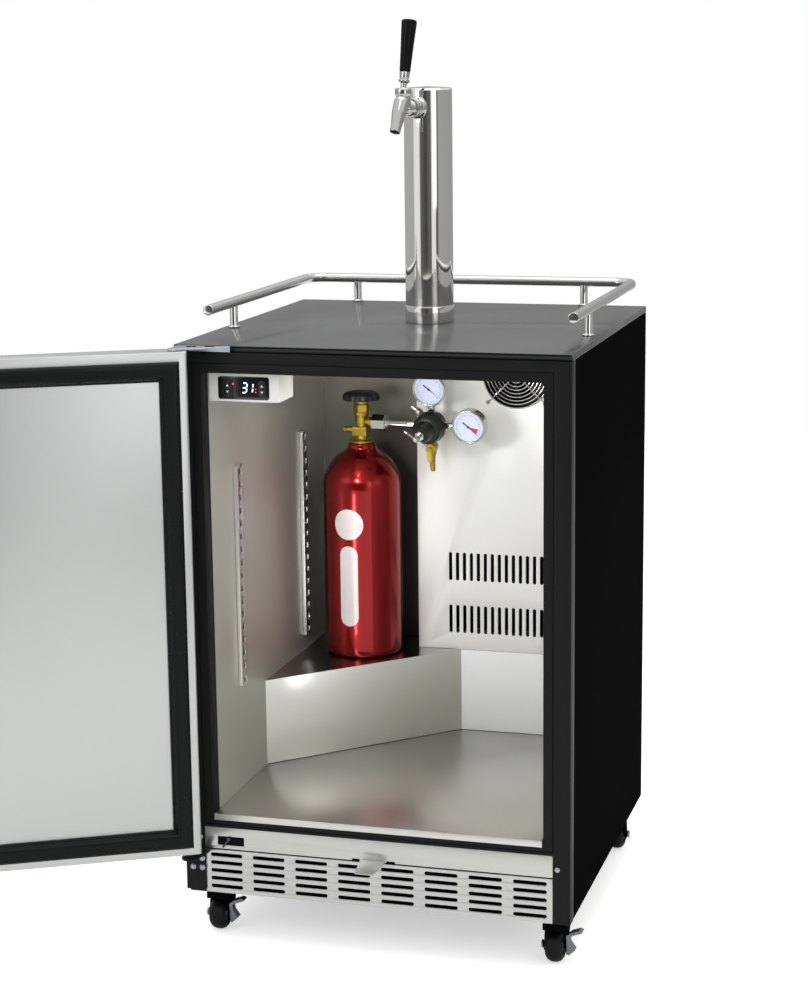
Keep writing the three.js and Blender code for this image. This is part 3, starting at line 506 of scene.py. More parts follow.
# ---- cabinet ----
def cabinet():
    inner = LINER_HALF + 1.5
    for side, sign in (("left", -1), ("right", 1)):
        low, high = sorted((sign * inner, sign * HALF))
        wall = block((low, FRAME_DEPTH + GAP, 0), (high, DEPTH, WALL_TOP), 1.6, 3)
        skin(f"side_wall_{side}", "cabinet", "black_paint", PAINT, wall)
    paint(PAINT, "back_wall", "roof_panel")
    lip, under = HEIGHT - 3.5, HEIGHT - 10
    section = [(0, lip), (0, HEIGHT), (DEPTH, HEIGHT), (DEPTH, under), (8, under), (8, lip)]
    slab = Piece("worktop_skin").add(WORKTOP, prism(filleted(section, 1.2, 3), -HALF, HALF, "side", edge=0.8))
    # A near-black strip over the worktop's front face, below its bright top edge: painted shade.
    slab.add(WORKTOP_SHADE_STRIP, block((-HALF + 1, -0.3, lip), (HALF - 1, 1, HEIGHT - 0.9), 0.1, 1))
    slab.done("cabinet", "worktop", "worktop")

    leg, kick_top = HALF - 26.5, 107 + GAP
    outline = [(-HALF, 0), (-leg, 0), (-leg, kick_top), (leg, kick_top), (leg, 0), (HALF, 0),
               (HALF, WALL_TOP), (-HALF, WALL_TOP)]
    rim, groove = 14, 1.6
    half, bottom, top = OPENING["half"], OPENING["bottom"] - GAP, OPENING["top"]
    mouth = rectangle(-half, bottom, half, top)
    middle = rectangle(-half - rim, bottom - 6, half + rim, top + rim)
    outer = rectangle(-half - rim - groove, bottom - 7, half + rim + groove, top + rim + groove)
    skin("front_frame", "cabinet", "black_frame", FRAME_PLASTIC,
         prism(outline, 0, 3, "front", [outer], 0.8),
         prism(middle, 0.6, 3, "front", [mouth], 0.6),
         prism(outline, 2.2, FRAME_DEPTH, "front", [mouth], 0.4))
    paint(PAINT, "base_pan")


def interior():
    liner()
    floor_panel()
    compressor_cover()
    duct()
    fan()
    for side, sign in (("left", -1), ("right", 1)):
        for place, y in (("front", 137), ("rear", 462)):
            shelf_track(side, place, sign, y)


def liner():
    """The liner's back wall is painted darker than its side walls, with a darker copy of their steel: painted
    shade.
    """
    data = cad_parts["inner_liner"].data
    data.materials.clear()
    data.materials.append(LINER_STEEL)
    data.materials.append(SHADED_BACK_STEEL)
    for face in data.polygons:
        face.material_index = 1 if abs(face.normal.y) > 0.7 else 0


def floor_panel():
    """The floor, with a near-black strip, painted shade, that closes the slit under the compressor cover."""
    side, bend, front = LINER_HALF - GAP, 5, DUCT_FACE
    seal = [(-side, front - side - bend - 1), (bend + 0.4, front - 1), (side, front - 1), (side, front + 4),
            (bend - 1.6, front + 4), (-side, front - side - bend + 5.5)]
    floor = Piece("floor_panel_skin").add(STEEL_FLOOR, from_node("floor_panel", 0.5))
    floor.add(SHADE_BLACK, prism(seal, FLOOR_TOP - 5, FLOOR_TOP + 0.05))
    floor.done("cabinet", "liner_steel", "floor_panel")


def compressor_cover():
    """The cover's slanting front keeps its steel; its straight end gets a lighter copy, painted light, and
    its top a darker, glossier one, painted shade.
    """
    cover = Piece("compressor_cover_skin").add(COVER_STEEL, from_node("compressor_cover", 0.55))
    cover.materials += [LIT_COVER_END, SHADED_COVER_TOP]
    for face in cover.mesh.faces:
        if face.normal.y < -0.9:
            face.material_index = 1
        elif face.normal.z > 0.9:
            face.material_index = 2
    cover.done("cabinet", "liner_steel", "compressor_cover")


def duct():
    first, pitch, half_width, half_height, corner = -12.9, 12.2, 2.8, 24.5, 2.79
    slots = []
    for z in (325.5, 417.5):
        for i in range(18):
            x = first + pitch * i
            slots.append(rectangle(x - half_width, z - half_height, x + half_width, z + half_height, corner))
    low, high = HUMP_TOP + GAP, CEILING - GAP
    face = prism(rectangle(DUCT_LEFT, low, LINER_HALF - GAP, high), DUCT_FACE, DUCT_FACE + SHEET, "front",
                 slots + [circle(FAN.x, FAN.z, FAN_HOLE)], 0.35)
    side = block((DUCT_LEFT, DUCT_FACE + SHEET / 2, low), (DUCT_LEFT + SHEET, 589, high), 0.3)
    skin("duct_cover", "cabinet", "liner_steel", STEEL_UP, face, side)
    # The evaporator behind the duct's slots is near-black: painted shade.
    paint(SHADE_BLACK, "evaporator")


def fan():
    guard = Piece("fan_guard_skin")
    front = DUCT_FACE - 4.2
    behind = front + 1.6
    for radius in (14, 20.5, 26.5, 32.5, 38.5, 44.5, 50.5, 56.7):
        guard.add(CHROME, torus((FAN.x, front, FAN.z), Y, radius, 1.0))
    for angle in (45, 135, 225, 315):
        out = compass(angle)
        x, z = FAN.x + FAN_FEET * out.x, FAN.z + FAN_FEET * out.y
        hub = (FAN.x + 12 * out.x, behind, FAN.z + 12 * out.y)
        guard.add(CHROME, rod(hub, (x, behind, z), 1.2, segments=12),
                  rod((x, front, z), (x, DUCT_FACE - GAP, z), 3.4, segments=24))
        guard.add(ZINC, pan_screw(x, front, z, -Y, 3.4))
    guard.done("cabinet", "chrome", "fan_guard")
    # The fan's motor and rotor behind the guard are near-black: painted shade.
    paint(SHADE_BLACK, "fan_motor", "fan_rotor")


def shelf_track(side, place, sign, y):
    """A slotted track upright on a side wall. Those on the right are drawn here only."""
    bottom, top, count = 297, 652, 17
    pitch = (top - bottom) / count
    wall = sign * (LINER_HALF - GAP)
    levels = [bottom + (i + 0.5) * pitch for i in range(count)]
    holes = [rectangle(y - 4, z - 4, y + 6, z + 4, 1) for z in levels]
    low, high = sorted((wall, wall - sign * 6))
    track = Piece(f"shelf_track_{side}_{place}")
    track.add(STEEL, prism(rectangle(y - 12, bottom, y + 12, top, 2), low, high, "side", holes, 0.8))
    back = sorted((wall, wall - sign * 0.6))
    # A near-black sheet behind the track's holes: painted shade.
    track.add(SHADE_BLACK, prism(rectangle(y - 10, bottom + 2, y + 10, top - 2), *back, "side"))
    track.done("cabinet", "liner_steel", *([f"shelf_track_{place}"] if side == "left" else []))


# ---- thermostat ----
def segment_digit(number, x, y, z, height):
    """A seven-segment 3 or 1 lying on the thermostat's face, leaning a little."""
    lit = {"3": "abcdg", "1": "bc"}[number]
    width, thick = height * 0.5, height * 0.13
    bars = {"a": (0, height, True), "b": (width, height / 2, False), "c": (width, 0, False),
            "d": (0, 0, True), "g": (0, height / 2, True)}
    parts = []
    for name in lit:
        along, up, flat = bars[name]
        if flat:
            low, high = (thick * 0.6, -thick / 2), (width - thick * 0.6, thick / 2)
        else:
            low, high = (-thick / 2, thick * 0.6), (thick / 2, height / 2 - thick * 0.6)
        outline = rectangle(along + low[0], up + low[1], along + high[0], up + high[1])
        lean = [Vector((x + p.x + p.y * 0.12, z + p.y)) for p in outline]
        parts.append(prism(lean, y - 0.25, y, "front"))
    return parts


def controller():
    front, keys = 26.5, (-227.5, -173)
    face = front - 1.2
    digits = {"y": face, "z": 783.7, "height": 14.4}
    box = Piece("controller_box")
    box.add(WHITE, block((-258.5, front, 769), (-146.5, 92.5, CEILING - GAP), 2.5, 4))
    box.add(GLOSS_BLACK, prism(rectangle(-242.5, 773, -162, 807.5, 4), face, front + 0.5, "front", edge=0.5))
    for x in keys:
        well = rectangle(x - 6.5, 776, x + 6.5, 802, 6)
        box.add(BLACK, prism(well, face - 0.3, face + 0.4, "front", edge=0.3))
    box.add(DIGIT, *segment_digit("3", -205, **digits), *segment_digit("1", -195.6, **digits))
    for x, z, radius in ((-218.5, 796.5, 1.3), (-183, 784.5, 0.9), (-183, 789, 0.9)):
        box.add(LAMP, prism(circle(x, z, radius, 16), face - 0.3, face, "front"))
    box.done("cabinet", "white_plastic", "controller_housing")
    cap = [(0, 0), (3.8, 0), (3.8, 2.4), (0, 2.8)]
    for side, x in zip(("left", "right"), keys):
        for way, z, sign in (("up", 794, 1), ("down", 784.5, -1)):
            key = Piece(f"key_{side}_{way}_skin")
            key.add(BLACK, smooth_turned(cap, 0.6, start=(x, front + 0.6, z), axis=-Y, segments=32))
            mark = [(x - 2.1, z - sign * 1.6), (x + 2.1, z - sign * 1.6), (x, z + sign * 2.1)]
            key.add(ICON, prism(mark, front - 2.2, front - 1.8, "front"))
            key.done(f"key_{side}_{way}", "black_plastic", f"key_{side}_{way}")


# ---- kick panel and grille ----
def lower_front():
    half = HALF - 26.8
    kick_panel(half)
    power_switch()
    grille(half)
    # The condenser behind the grille's slots is near-black: painted shade.
    paint(SHADE_BLACK, "condenser")
    paint(CAST, "compressor")
    screws = Piece("frame_screws")
    screws.add(ZINC, pan_screw(282, -0.1, 86, -Y), pan_screw(-282, -0.1, 89.5, -Y))
    screws.done("cabinet", "zinc")


def kick_panel(half):
    """The panel under the door, with the switch's window, and the lock's strike between its two notches."""
    low, notch, high = 72.8, 75.8, 107
    outline = [(-half, low)]
    for start, end in ((-37, -25), (17, 31)):
        outline += [(start, low), (start, notch), (end, notch), (end, low)]
    outline += [(half, low), (half, high), (-half, high)]
    window = rectangle(-254, 79, -211, 93, 1.5)
    panel = prism(outline, 0, 1.5, "front", [window], 0.3)
    tongue = prism(filleted([(-24, 1), (-23, -36), (6, -36), (16, 1)], 1.6), -0.75, 0.75, edge=0.3)
    strike = Matrix.Translation((0, 0, 73.8)) @ Matrix.Rotation(math.radians(14), 4, "X")
    skin("kick_panel", "cabinet", "stainless", KICK_STEEL, panel, moved(tongue, strike))


def power_switch():
    # A near-black block in the switch's window: painted shade of its recess.
    recess = block((-256, 1.7, 77), (-209, 4.4, 95), 0.3)
    Piece("switch_recess_painted_shade").add(SHADE_BLACK, recess).done("cabinet", "black_plastic")
    x, z = -235.5, 89.5
    arm = block((-17.5, -1, -1.6), (1.5, 1, 1.6), 0.7)
    lean = Matrix.Translation((x, -2, z)) @ Matrix.Rotation(math.radians(-55), 4, "Y")
    skin("power_switch", "power_switch", "black_plastic", GLOSS_BLACK, moved(arm, lean),
         rod((x, -2.9, z), (x, 1.5, z), 3))


def grille(half):
    columns, rows, half_width, half_height, corner = 8, 5, 25.75, 2.8, 2.79
    slots = []
    for column in range(columns):
        for row in range(rows):
            x, z = (column - (columns - 1) / 2) * 68.65, 36.8 + (row - (rows - 1) / 2) * 12.8
            slots.append(rectangle(x - half_width, z - half_height, x + half_width, z + half_height, corner))
    skin("grille", "cabinet", "stainless", KICK_STEEL,
         prism(rectangle(-half, 0.5, half, 70.8), 0, 1.5, "front", slots, 0.4))


# ---- hinges and door ----
def hinges():
    slots = ((-275, -22, -269, -8), (-267, -20, -261, -8), (-249, -14, -234, -4))
    top = Piece("top_hinge_skin").add(ZINC, from_node("top_hinge", 0.5))
    # Near-black marks on the top hinge's face: painted shade, not cut slots.
    top.add(SHADE_BLACK, *[prism(rectangle(*corners, 2.5), HEIGHT - 1, HEIGHT - 0.5) for corners in slots])
    top.done("cabinet", "zinc", "top_hinge")
    bottom = Piece("bottom_hinge_skin").add(FRAME_PLASTIC, from_node("bottom_hinge", 0.5))
    bottom.add(ZINC, *[pan_screw(x, -3.4, z, -Y, 5) for x, z in ((-294, 41), (-279, 41), (-279, 56))])
    bottom.done("cabinet", "black_paint", "bottom_hinge")


def frame_moulding(half, low, high, profile):
    """A moulding round a rectangle on the door, mitred at its corners, from (inset, y) points."""
    mesh = bmesh.new()
    rings = []
    for back, y in profile:
        corners = rectangle(-half + back, low + back, half - back, high - back)
        rings.append([mesh.verts.new((p.x, y, p.y)) for p in corners])
    bridge(mesh, rings + rings[:1])
    return outward(mesh)


def door():
    inner, outer, rim = DOOR["inner"], DOOR["outer"], 13
    skin("door_shell", "door", "stainless", DOOR_STEEL, from_node("door_shell", 0.5))
    half, low, high = HALF - rim, DOOR["bottom"] + rim, DOOR["top"] - rim
    sheet = prism(rectangle(-half, low, half, high), inner - SHEET, inner, "front", edge=0.4)
    skin("door_liner", "door", "stainless", DOOR_STEEL, sheet, place=IN_DOOR)
    face = -GAP
    profile = [(0, inner + GAP), (0, face - 5), (3, face - 2.5), (8, face), (20, face), (24, face - 3),
               (26, face - 7), (29.5, face - 8.5), (29.5, inner + GAP)]
    seal = frame_moulding(half, low, high, filleted(profile, 1.6, 3))
    skin("door_gasket", "door", "gasket", RUBBER, seal, place=IN_DOOR)
    x, y, foot = HALF - 40, outer - 42, outer - GAP
    bar, flange = [(0, 0), (9.5, 0), (9.5, 500), (0, 500)], [(0, 0), (11, 0), (10, 3), (0, 3)]
    parts = [smooth_turned(bar, 2.5, 4, start=(x, y, 220))]
    for z in (265, 675):
        parts += [rod((x, foot, z), (x, y, z), 7),
                  smooth_turned(flange, 0.8, start=(x, foot, z), axis=-Y)]
    skin("door_handle", "door", "stainless", SATIN, *parts, place=IN_DOOR)


# ---- rail round the worktop ----
def arc(centre, radius, start, end, steps=12):
    """Points round a level arc, between two angles in degrees."""
    angles = [start + (end - start) * i / steps for i in range(steps + 1)]
    return [Vector(centre) + radius * compass(angle).to_3d() for angle in angles]


def guard_rail():
    x, front, back, z, bend = 283, 98, 604, HEIGHT + 40, 32
    path = [Vector((-x, front, z))] + arc((-x + bend, back - bend, z), bend, 180, 90)
    path += arc((x - bend, back - bend, z), bend, 90, 0) + [Vector((x, front, z))]
    rail = Piece("guard_rail_skin")
    rail.add(SATIN, tube(path, 8, 40))
    cap = [(0, 0), (8.3, 0), (8.3, 5), (0, 5)]
    post = [(0, 0), (9.5, 0), (9.5, 2.2), (6.5, 3), (6.5, 36), (0, 36)]
    for end in (-x, x):
        rail.add(CHROME, smooth_turned(cap, 1.2, start=(end, front + 4.9, z), axis=-Y))
    for px, py in ((-x, 213), (x, 213), (-198, back), (198, back)):
        rail.add(CHROME, smooth_turned(post, 0.6, start=(px, py, HEIGHT + GAP)))
    rail.done("cabinet", "stainless", "guard_rail")


# ---- tower and tap ----
def tower():
    radius, height, bore = TOWER["radius"], TOWER["height"], 36.6
    tube_and_collar = [(bore, GAP), (39.1, GAP), (39.1, 26), (37.4, 26.1), (37.4, 27.3), (radius, 27.5),
                       (radius, height - 1.5), (radius - 2, height + 1.6), (0, height + 3.6), (0, height),
                       (bore, height - 2)]
    lid = [(0, height + 1.4), (radius - 3, height + 1.4), (radius - 3, height + 1.9), (0, height + 3.8)]
    column = Piece("tower_column_skin", IN_TOWER)
    column.add(CHROME, smooth_turned(tube_and_collar, 0.4, segments=128))
    column.add(CAP, smooth_turned(lid, 0.2, segments=96))
    column.done("cabinet", "chrome", "tower_column")


def tap():
    z, reach = TAP["height"], TAP["reach"]
    thread = [(0, 0), (10.7, 0), (10.7, 41), (0, 41)]
    flange = [(10, 0), (17.5, 0), (17, 3), (14, 6.4), (10, 6.4)]
    skin("faucet_shank", "cabinet", "chrome", FAUCET,
         smooth_turned(thread, 0.5, start=(0, -24, z), axis=-Y),
         smooth_turned(flange, 1.2, start=(0, -39.7, z), axis=-Y), place=IN_TOWER)

    ring = [(11.2, 0), (14.6, 0), (14.6, 4), (13.6, 5.4), (13.6, 10), (14.6, 11.4), (14.6, 16), (11.2, 16)]
    skin("faucet_nut", "cabinet", "chrome", FAUCET,
         smooth_turned(ring, 0.6, start=(0, -49, z), axis=-Y, segments=96), place=IN_TOWER)

    barrel = [(0, 0), (12.6, 0), (12.6, 4), (10.6, 7), (10.2, 24), (0, 26)]
    bonnet = [(0, 0), (9, 0), (11.5, 4), (11.6, 22), (13, 25), (13, 31), (12, 34), (9.6, 34), (9.2, 24),
              (0, 24)]
    spout_top, spout_end = Vector((0, reach - 4, z + 16)), Vector((0, -119, z - 35))
    along = spout_end - spout_top
    length = along.length
    spout = [(0, 0), (9, 0), (11.6, 6), (11.2, length * 0.45), (8.6, length * 0.8), (8.2, length),
             (6.8, length), (6.6, length - 5), (0, length - 5)]
    bore = [(0, 0), (6.6, 0), (6.6, 0.6), (0, 0.6)]
    body = Piece("faucet_body_skin", IN_TOWER)
    body.add(FAUCET, smooth_turned(barrel, 1.5, start=(0, -65.3, z), axis=-Y),
             smooth_turned(bonnet, 1.2, start=(0, reach, z - 3)),
             smooth_turned(spout, 1.0, start=spout_top, axis=along))
    # A near-black disc in the spout's mouth: painted shade of its bore.
    body.add(SHADE_BLACK, smooth_turned(bore, 0.1, start=spout_end - along.normalized() * 1.2, axis=along))
    body.done("cabinet", "chrome", "faucet_body")

    ferrule = [(0, 0), (4.4, 0), (4.6, 10), (8.8, 12), (8.8, 15), (6.4, 16.5), (7.4, 18), (8.2, 27), (0, 27)]
    skin("faucet_lever", "tap", "chrome", FAUCET, ball((0, 0, 0), 6), smooth_turned(ferrule, 0.6),
         place=IN_TAP)
    rise = TAP["handle"] - TAP["lever"]
    grip = [(0, 0), (8, 0), (8.4, 3), (9.8, rise * 0.45), (12, rise - 3), (11.2, rise - 0.4), (0, rise)]
    foot = (0, 0, TAP["lever"] - TAP["pivot"] - 0.7)
    skin("tap_handle", "tap", "black_plastic", HANDLE, smooth_turned(grip, 1.4, 4, start=foot), place=IN_TAP)


# ---- gas cylinder, valve and regulator ----
def cylinder():
    radius, neck = 66.7, 23
    shoulder = [(70, radius), (60, 65.6), (51, 62.5), (41.5, 57.6), (32, 51), (22.5, 42.6), (15, 30)]
    profile = [(0, 0), (radius - 10, 0), (radius - 3, 2), (radius, 10),
               *((r, NECK - drop) for drop, r in shoulder),
               (neck + 1, NECK - 10), (neck, NECK - 7), (neck, NECK), (0, NECK)]
    tank = Piece("co2_cylinder_skin")
    tank.add(RED, smooth_turned(profile, 4.0, 4, start=CYLINDER, segments=128))
    tank.add(LABEL, wrapped(26, 206, 258, radius + 0.2), wrapped(16, 57, 195, radius + 0.2))
    tank.done("cabinet", "cylinder_red", "co2_cylinder")
    cylinder_valve()
    handwheel()


def cylinder_valve():
    foot = [(0, 0), (21.3, 0), (21.3, 3), (12, 4), (10.3, 6), (10.3, 12), (0, 12)]
    relief = [(0, 0), (4.7, 0), (4.7, 5), (3.6, 6), (3.6, 8), (5, 9), (5, 20), (0, 20)]
    bonnet = [(0, 0), (10.2, 0), (10.2, 17), (12.6, 18.5), (12.6, 20.5), (11.8, 21.5), (12.6, 22.5),
              (12.6, 25), (0, 25)]
    outlet = [(0, 0), (5.6, 0), (5.6, 13), (8.6, 13.5), (8.6, 20), (0, 20)]
    skin("cylinder_valve", "cabinet", "brass", BRASS,
         smooth_turned(foot, 0.8), block((-13, -12, 11), (13, 12, 27), 1.6, 3),
         smooth_turned(relief, 0.5, start=(-31, 0, 20), axis=X),
         smooth_turned(bonnet, 0.5, start=(0, 0, 26)),
         hexagon((0, 0, 50.5), (0, 0, 65), 24.5, 1.5), rod((0, 0, 64), (0, 0, 71), 10.2, edge=1.2),
         smooth_turned(outlet, 0.6, start=(0, 0, REGULATOR["outlet"]), axis=X), place=IN_HEAD)


def handwheel():
    profile = [(0, 0), (29, 0), (31, 0.6), (31.8, 2), (31.2, 8), (27.5, 12.3), (19, 14.6), (0, 15)]
    wheel = smooth_turned(profile, 1.6, start=(0, 0, 71.3), segments=120, flute=(16, 1.2, 1, 9))
    skin("cylinder_handwheel", "handwheel", "black_plastic", BLACK, wheel, place=IN_HEAD)


def wrapped(half, low, high, radius, columns=36):
    """A thin label with round ends, bent round the cylinder's front. Half is half its width."""
    mesh = bmesh.new()
    middle, under = math.radians(-95), radius - 0.4
    rows = []
    for i in range(columns + 1):
        across = -half * 0.999 * math.cos(math.pi * i / columns)
        short = half - math.sqrt(half * half - across * across)
        angle = middle + across / radius
        bottom, top = low + short, high - short
        section = [(under, bottom), (radius, bottom), (radius, top), (under, top)]
        rows.append([mesh.verts.new((CYLINDER.x + out * math.cos(angle), CYLINDER.y + out * math.sin(angle),
                                     CYLINDER.z + z)) for out, z in section])
    bridge(mesh, rows)
    mesh.faces.new(rows[0])
    mesh.faces.new(rows[-1])
    return outward(mesh)


def gauge(name, x, z, stem_from, stem_to, needle, warning):
    """A pressure gauge with its dial facing the door. Needle is its angle, and warning adds a red sector."""
    piece = Piece(f"{name}_skin", IN_REGULATOR)
    centre, back = Vector((x, z)), 5
    case = [(0, 0), (25.5, 0), (28, 2), (28, 16), (29, 17), (29, 21), (27, 22), (25.5, 21), (25.5, 19.2),
            (0, 19.2)]
    piece.add(SATIN, smooth_turned(case, 0.8, start=(x, back, z), axis=-Y, segments=96))
    piece.add(CHROME, rod(stem_from, stem_to, 6.5))
    face = back - 19.3
    piece.add(DIAL, prism(circle(x, z, 25.1), face - 0.3, face, "front"))
    ticks, first, sweep = 28, -45, 270
    for i in range(ticks):
        out = compass(first + sweep * i / (ticks - 1))
        across = out.orthogonal() * 0.35
        outer, inner = centre + out * 21.8, centre + out * (17.8 if i % 3 == 0 else 19.6)
        outline = [outer + across, outer - across, inner - across, inner + across]
        piece.add(INK, prism(outline, face - 0.5, face - 0.2, "front"))
    if warning:
        sector = [centre + 17 * compass(angle) for angle in range(-46, -9, 6)]
        sector += [centre + 4 * compass(angle) for angle in range(-10, -47, -6)]
        piece.add(RED_INK, prism(sector, face - 0.42, face - 0.2, "front"))
    out = compass(needle)
    across = out.orthogonal() * 1.2
    pointer = [centre + out * 20, centre - out * 12 + across, centre - out * 12 - across]
    piece.add(INK, prism(pointer, face - 1.1, face - 0.7, "front"),
              rod((x, face, z), (x, face - 1.6, z), 2.2, segments=24))
    piece.done("cabinet", "gauge", name)


def regulator():
    start, end, nut = 20 + GAP - REGULATOR["reach"], -21.3, 25
    reach = end - start - nut + 0.5
    nipple = [(0, 0), (8.5, 0), (7, 3), (5.3, 4.5), (5.3, reach), (0, reach)]
    skin("regulator_inlet", "cabinet", "chrome", CHROME,
         hexagon((start, 0, 0), (start + nut, 0, 0), 24.6, 1.6),
         smooth_turned(nipple, 0.8, start=(start + nut - 0.5, 0, 0), axis=X), place=IN_REGULATOR)

    housing = [(0, 0), (19, 0), (21, 2), (21, 20), (0, 20)]
    bonnet = [(0, 0), (26, 0), (27, 1.5), (27, 9), (25.8, 11), (24, 24), (21, 26.5), (17, 28), (16, 36),
              (13.5, 48), (12, 52), (10, 53), (0, 53)]
    safety = [(0, 0), (6, 0), (6, 8), (7, 9), (7, 16), (5, 18), (5, 28), (0, 29.5)]
    body = Piece("regulator_body_skin", IN_REGULATOR)
    body.add(BLACK, smooth_turned(housing, 1.0, start=(0, 14, 0), axis=-Y, segments=96),
             smooth_turned(bonnet, 1.2, start=(0, -7, 0), axis=-Y, segments=144, flute=(24, 0.7, 1, 10)))
    body.add(SATIN, smooth_turned(safety, 0.7, start=(-13, 2, 14), axis=(-21, 0, 16)))
    body.done("cabinet", "black_paint", "regulator_body")

    skin("regulator_screw", "adjusting_screw", "chrome", CHROME,
         rod((0, -60.3, 0), (0, -84, 0), 4.6), hexagon((0, -60.6, 0), (0, -65, 0), 15, 0.7),
         rod((-20, -80, 13), (20, -80, -13), 1.7, edge=1.0), ball((0, -80, 0), 6), place=IN_REGULATOR)
    gauge("gauge_outlet", 3, 66, (0, 2, 21.3), (0, 2, 44), -38, False)
    gauge("gauge_cylinder", 68.5, 4.5, (21.3, 2, 0), (46, 2, 0), -40, True)
    shutoff()


def shutoff():
    """The valve under the regulator, its hose barb and its lever."""
    x, z = -3, -39
    cock = [(0, 0), (9, 0), (9, 18), (0, 18)]
    barb = [(0, 0), (6.5, 0), (5, 5), (5.6, 8), (4.4, 10), (5.4, 14), (4.2, 16), (5, 20), (4, 22), (4.4, 26),
            (3.4, 30), (0, 30)]
    skin("shutoff_valve", "cabinet", "brass", BRASS,
         hexagon((x, 2, -21.5), (x, 2, -29), 16, 0.6), rod((x, 2, -28), (x, 2, -51), 7),
         smooth_turned(cock, 1.5, start=(x, -9, z), axis=Y),
         smooth_turned(barb, 0.6, start=(x, 0, -50), axis=-Z), place=IN_REGULATOR)
    blade = rectangle(x - 4, z - 22, x + 4, z + 4, 3.9)
    skin("shutoff_lever", "shutoff", "brass", BRASS, rod((x, -9.3, z), (x, -14, z), 4.5),
         prism(blade, -14, -11.5, "front", edge=0.5), place=IN_REGULATOR)


# ---- casters ----
def casters():
    radius, half, z = CASTER["radius"], CASTER["width"] / 2, CASTER["axle"]
    tyre = mirrored([(15, 2 - half), (17, -half), (radius - 7, -half), (radius - 2, 4 - half),
                     (radius, 10 - half)])
    hub = mirrored([(4.6, -half), (8, -half), (9, 3 - half), (15.4, 3.6 - half)])
    swivel = [(0, 0), (17.5, 0), (19, 2), (19, 5), (17, 7), (0, 7)]
    for end, y, axle in (("front", 65, 47), ("rear", 540, 558)):
        for side, x in (("left", -270), ("right", 270)):
            name = f"{end}_{side}"
            wheel = Piece(f"caster_wheel_{name}_skin")
            wheel.add(TYRE, smooth_turned(tyre, 2.4, start=(x, axle, z), axis=X, segments=72))
            wheel.add(BLACK, smooth_turned(hub, 0.8, start=(x, axle, z), axis=X, segments=48))
            wheel.done(f"wheel_{name}", "tyre", f"caster_wheel_{name}")
            fork = Piece(f"caster_fork_{name}_skin")
            fork.add(PAINT, from_node(f"caster_fork_{name}", 0.4))
            for sign in (-1, 1):
                tip = x + sign * (half + 8.2)
                fork.add(ZINC, hexagon((tip - sign * 3, axle, z), (tip, axle, z), 12, 0.7))
            fork.add(ZINC, smooth_turned(swivel, 1.0, start=(x, y, -8)))
            fork.done(f"fork_{name}", "black_paint", f"caster_fork_{name}")
            if end == "front":
                brake = f"brake_lever_{name}"
                skin(brake, f"brake_{name}", "zinc", BRAKE, from_node(brake, 0.5))


# ---- studio ----
def area_light(name, place, target, size, power, height=None):
    """A rectangular lamp in cabinet millimetres and watts. The camera doesn't see it."""
    data = bpy.data.lights.new(name, "AREA")
    data.shape = "RECTANGLE"
    data.size, data.size_y = size * MM, (height or size) * MM
    data.energy = power
    lamp = bpy.data.objects.new(name, data)
    lamp.location = CABINET @ Vector(place)
    lamp.rotation_euler = (Vector(target) - Vector(place)).to_track_quat("-Z", "Y").to_euler()
    lamp.visible_camera = False
    bpy.context.scene.collection.objects.link(lamp)
    return lamp


def paper_floor():
    """Pale paper under the casters. Its glow is there for the camera only and lights nothing."""
    paper = surface("floor_paper", 0xF4F4F3, 0.8, tone=0.01, bump=0.0, Specular_IOR_Level=0.1,
                    Emission_Color=(1, 1, 1, 1))
    tree = paper.node_tree
    seen = add_node(tree, "LightPath", {}).outputs["Is Camera Ray"]
    strength = add_node(tree, "Math", {0: seen, 1: 0.5}, operation="MULTIPLY").outputs[0]
    tree.links.new(strength, tree.nodes["Principled BSDF"].inputs["Emission Strength"])
    ground = CASTER["axle"] - CASTER["radius"]
    sheet = moved(prism(circle(0, 300, 4500, 96), ground - 20, ground - 0.1), CABINET)
    data = bpy.data.meshes.new("floor")
    sheet.to_mesh(data)
    data.materials.append(paper)
    floor = bpy.data.objects.new("floor", data)
    bpy.context.scene.collection.objects.link(floor)


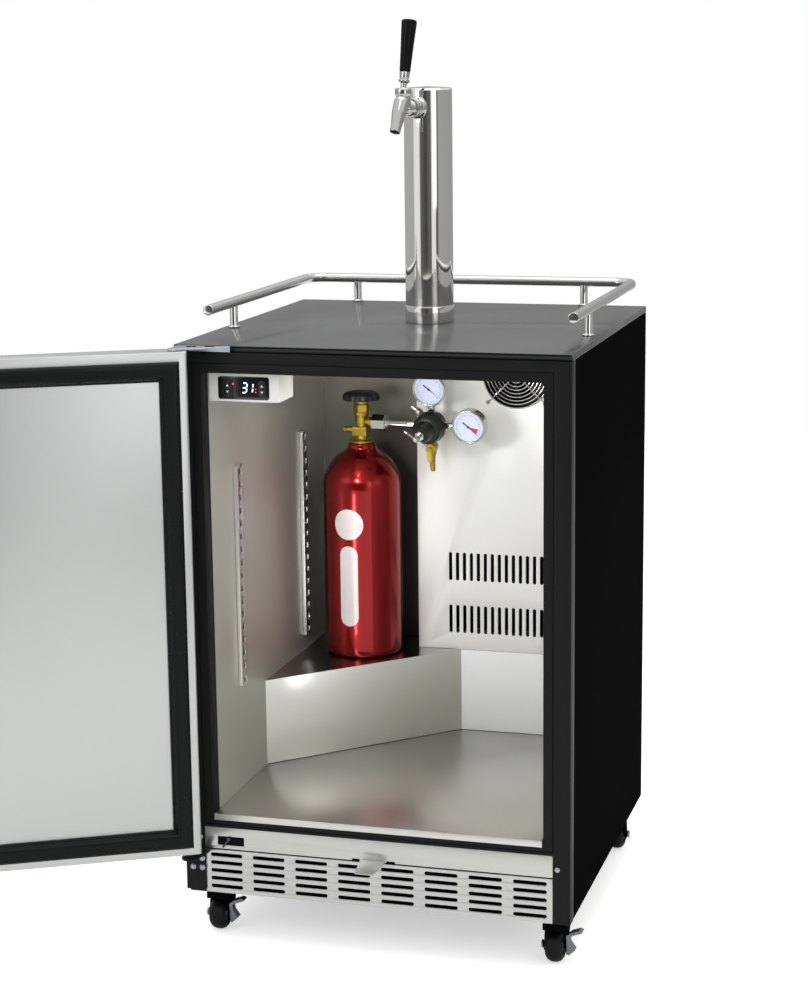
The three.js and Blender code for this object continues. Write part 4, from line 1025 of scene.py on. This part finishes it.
def surroundings():
    """A white room. Glossy surfaces see it as upright bands, light and dark, under a white ceiling."""
    world = bpy.data.worlds.new("studio")
    bpy.context.scene.world = world
    world.use_nodes = True
    tree = world.node_tree
    white = (1, 1, 1, 1)
    place = add_node(tree, "TexCoord", {}).outputs["Generated"]
    split = add_node(tree, "SeparateXYZ", {0: place})
    ahead = add_node(tree, "Math", {0: split.outputs["Y"], 1: -1}, operation="MULTIPLY").outputs[0]
    angle = add_node(tree, "Math", {0: split.outputs["X"], 1: ahead}, operation="ARCTAN2").outputs[0]
    share = add_node(tree, "MapRange", {"Value": angle, "From Min": -math.pi, "From Max": math.pi})
    bands = add_node(tree, "ValToRGB", {"Fac": share.outputs["Result"]})
    # degrees round from the front, towards the right side, and brightness
    stops = [(-180, 0.42), (-110, 0.5), (-62, 0.5), (-55, 1.0), (-30, 1.0), (-24, 0.15), (4, 0.06),
             (12, 0.14), (26, 0.14), (30, 1.0), (47, 1.0), (51, 0.12), (58, 0.12), (64, 0.45), (150, 0.4),
             (180, 0.42)]
    elements = bands.color_ramp.elements
    while len(elements) < len(stops):
        elements.new(0.5)
    for element, (degrees, level) in zip(elements, stops):
        element.position = (degrees + 180) / 360
        element.color = (level, level, level, 1)
    rise = add_node(tree, "MapRange", {"Value": split.outputs["Z"], "From Min": 0.18, "From Max": 0.45})
    room = add_node(tree, "Mix", {"A": bands.outputs["Color"], "B": white, "Factor": rise.outputs["Result"]},
                    data_type="RGBA")
    glossy = add_node(tree, "LightPath", {}).outputs["Is Glossy Ray"]
    pick = add_node(tree, "Mix", {"A": white, "B": room.outputs["Result"], "Factor": glossy},
                    data_type="RGBA")
    tree.links.new(pick.outputs["Result"], tree.nodes["Background"].inputs["Color"])
    tree.nodes["Background"].inputs["Strength"].default_value = 1.0


def lights():
    middle = (0, 300, 400)
    area_light("overhead", (200, 100, 3200), middle, 2600, 30)
    area_light("front_left", (-1900, -2600, 1900), middle, 1400, 14)
    area_light("front_right", (2300, -2000, 1500), middle, 1200, 8, height=1800)
    inside = area_light("inside", (110, 150, 812), (70, 210, 250), 280, 2.2, height=140)
    inside.visible_glossy = False
    area_light("behind_frame", (-140, 100, 740), (60, 514, 700), 60, 0.4)
    streak = area_light("cylinder_streak", (-174.5, 250, 397), (-151, 408, 397), 22, 0.16, height=260)
    streak.visible_diffuse = False


def finish_view():
    scene = bpy.context.scene
    scene.view_settings.view_transform = "Standard"
    scene.view_settings.look = "None"


add_camera()
cabinet()
interior()
controller()
lower_front()
hinges()
door()
guard_rail()
tower()
tap()
cylinder()
regulator()
casters()
paper_floor()
surroundings()
lights()
finish_view()
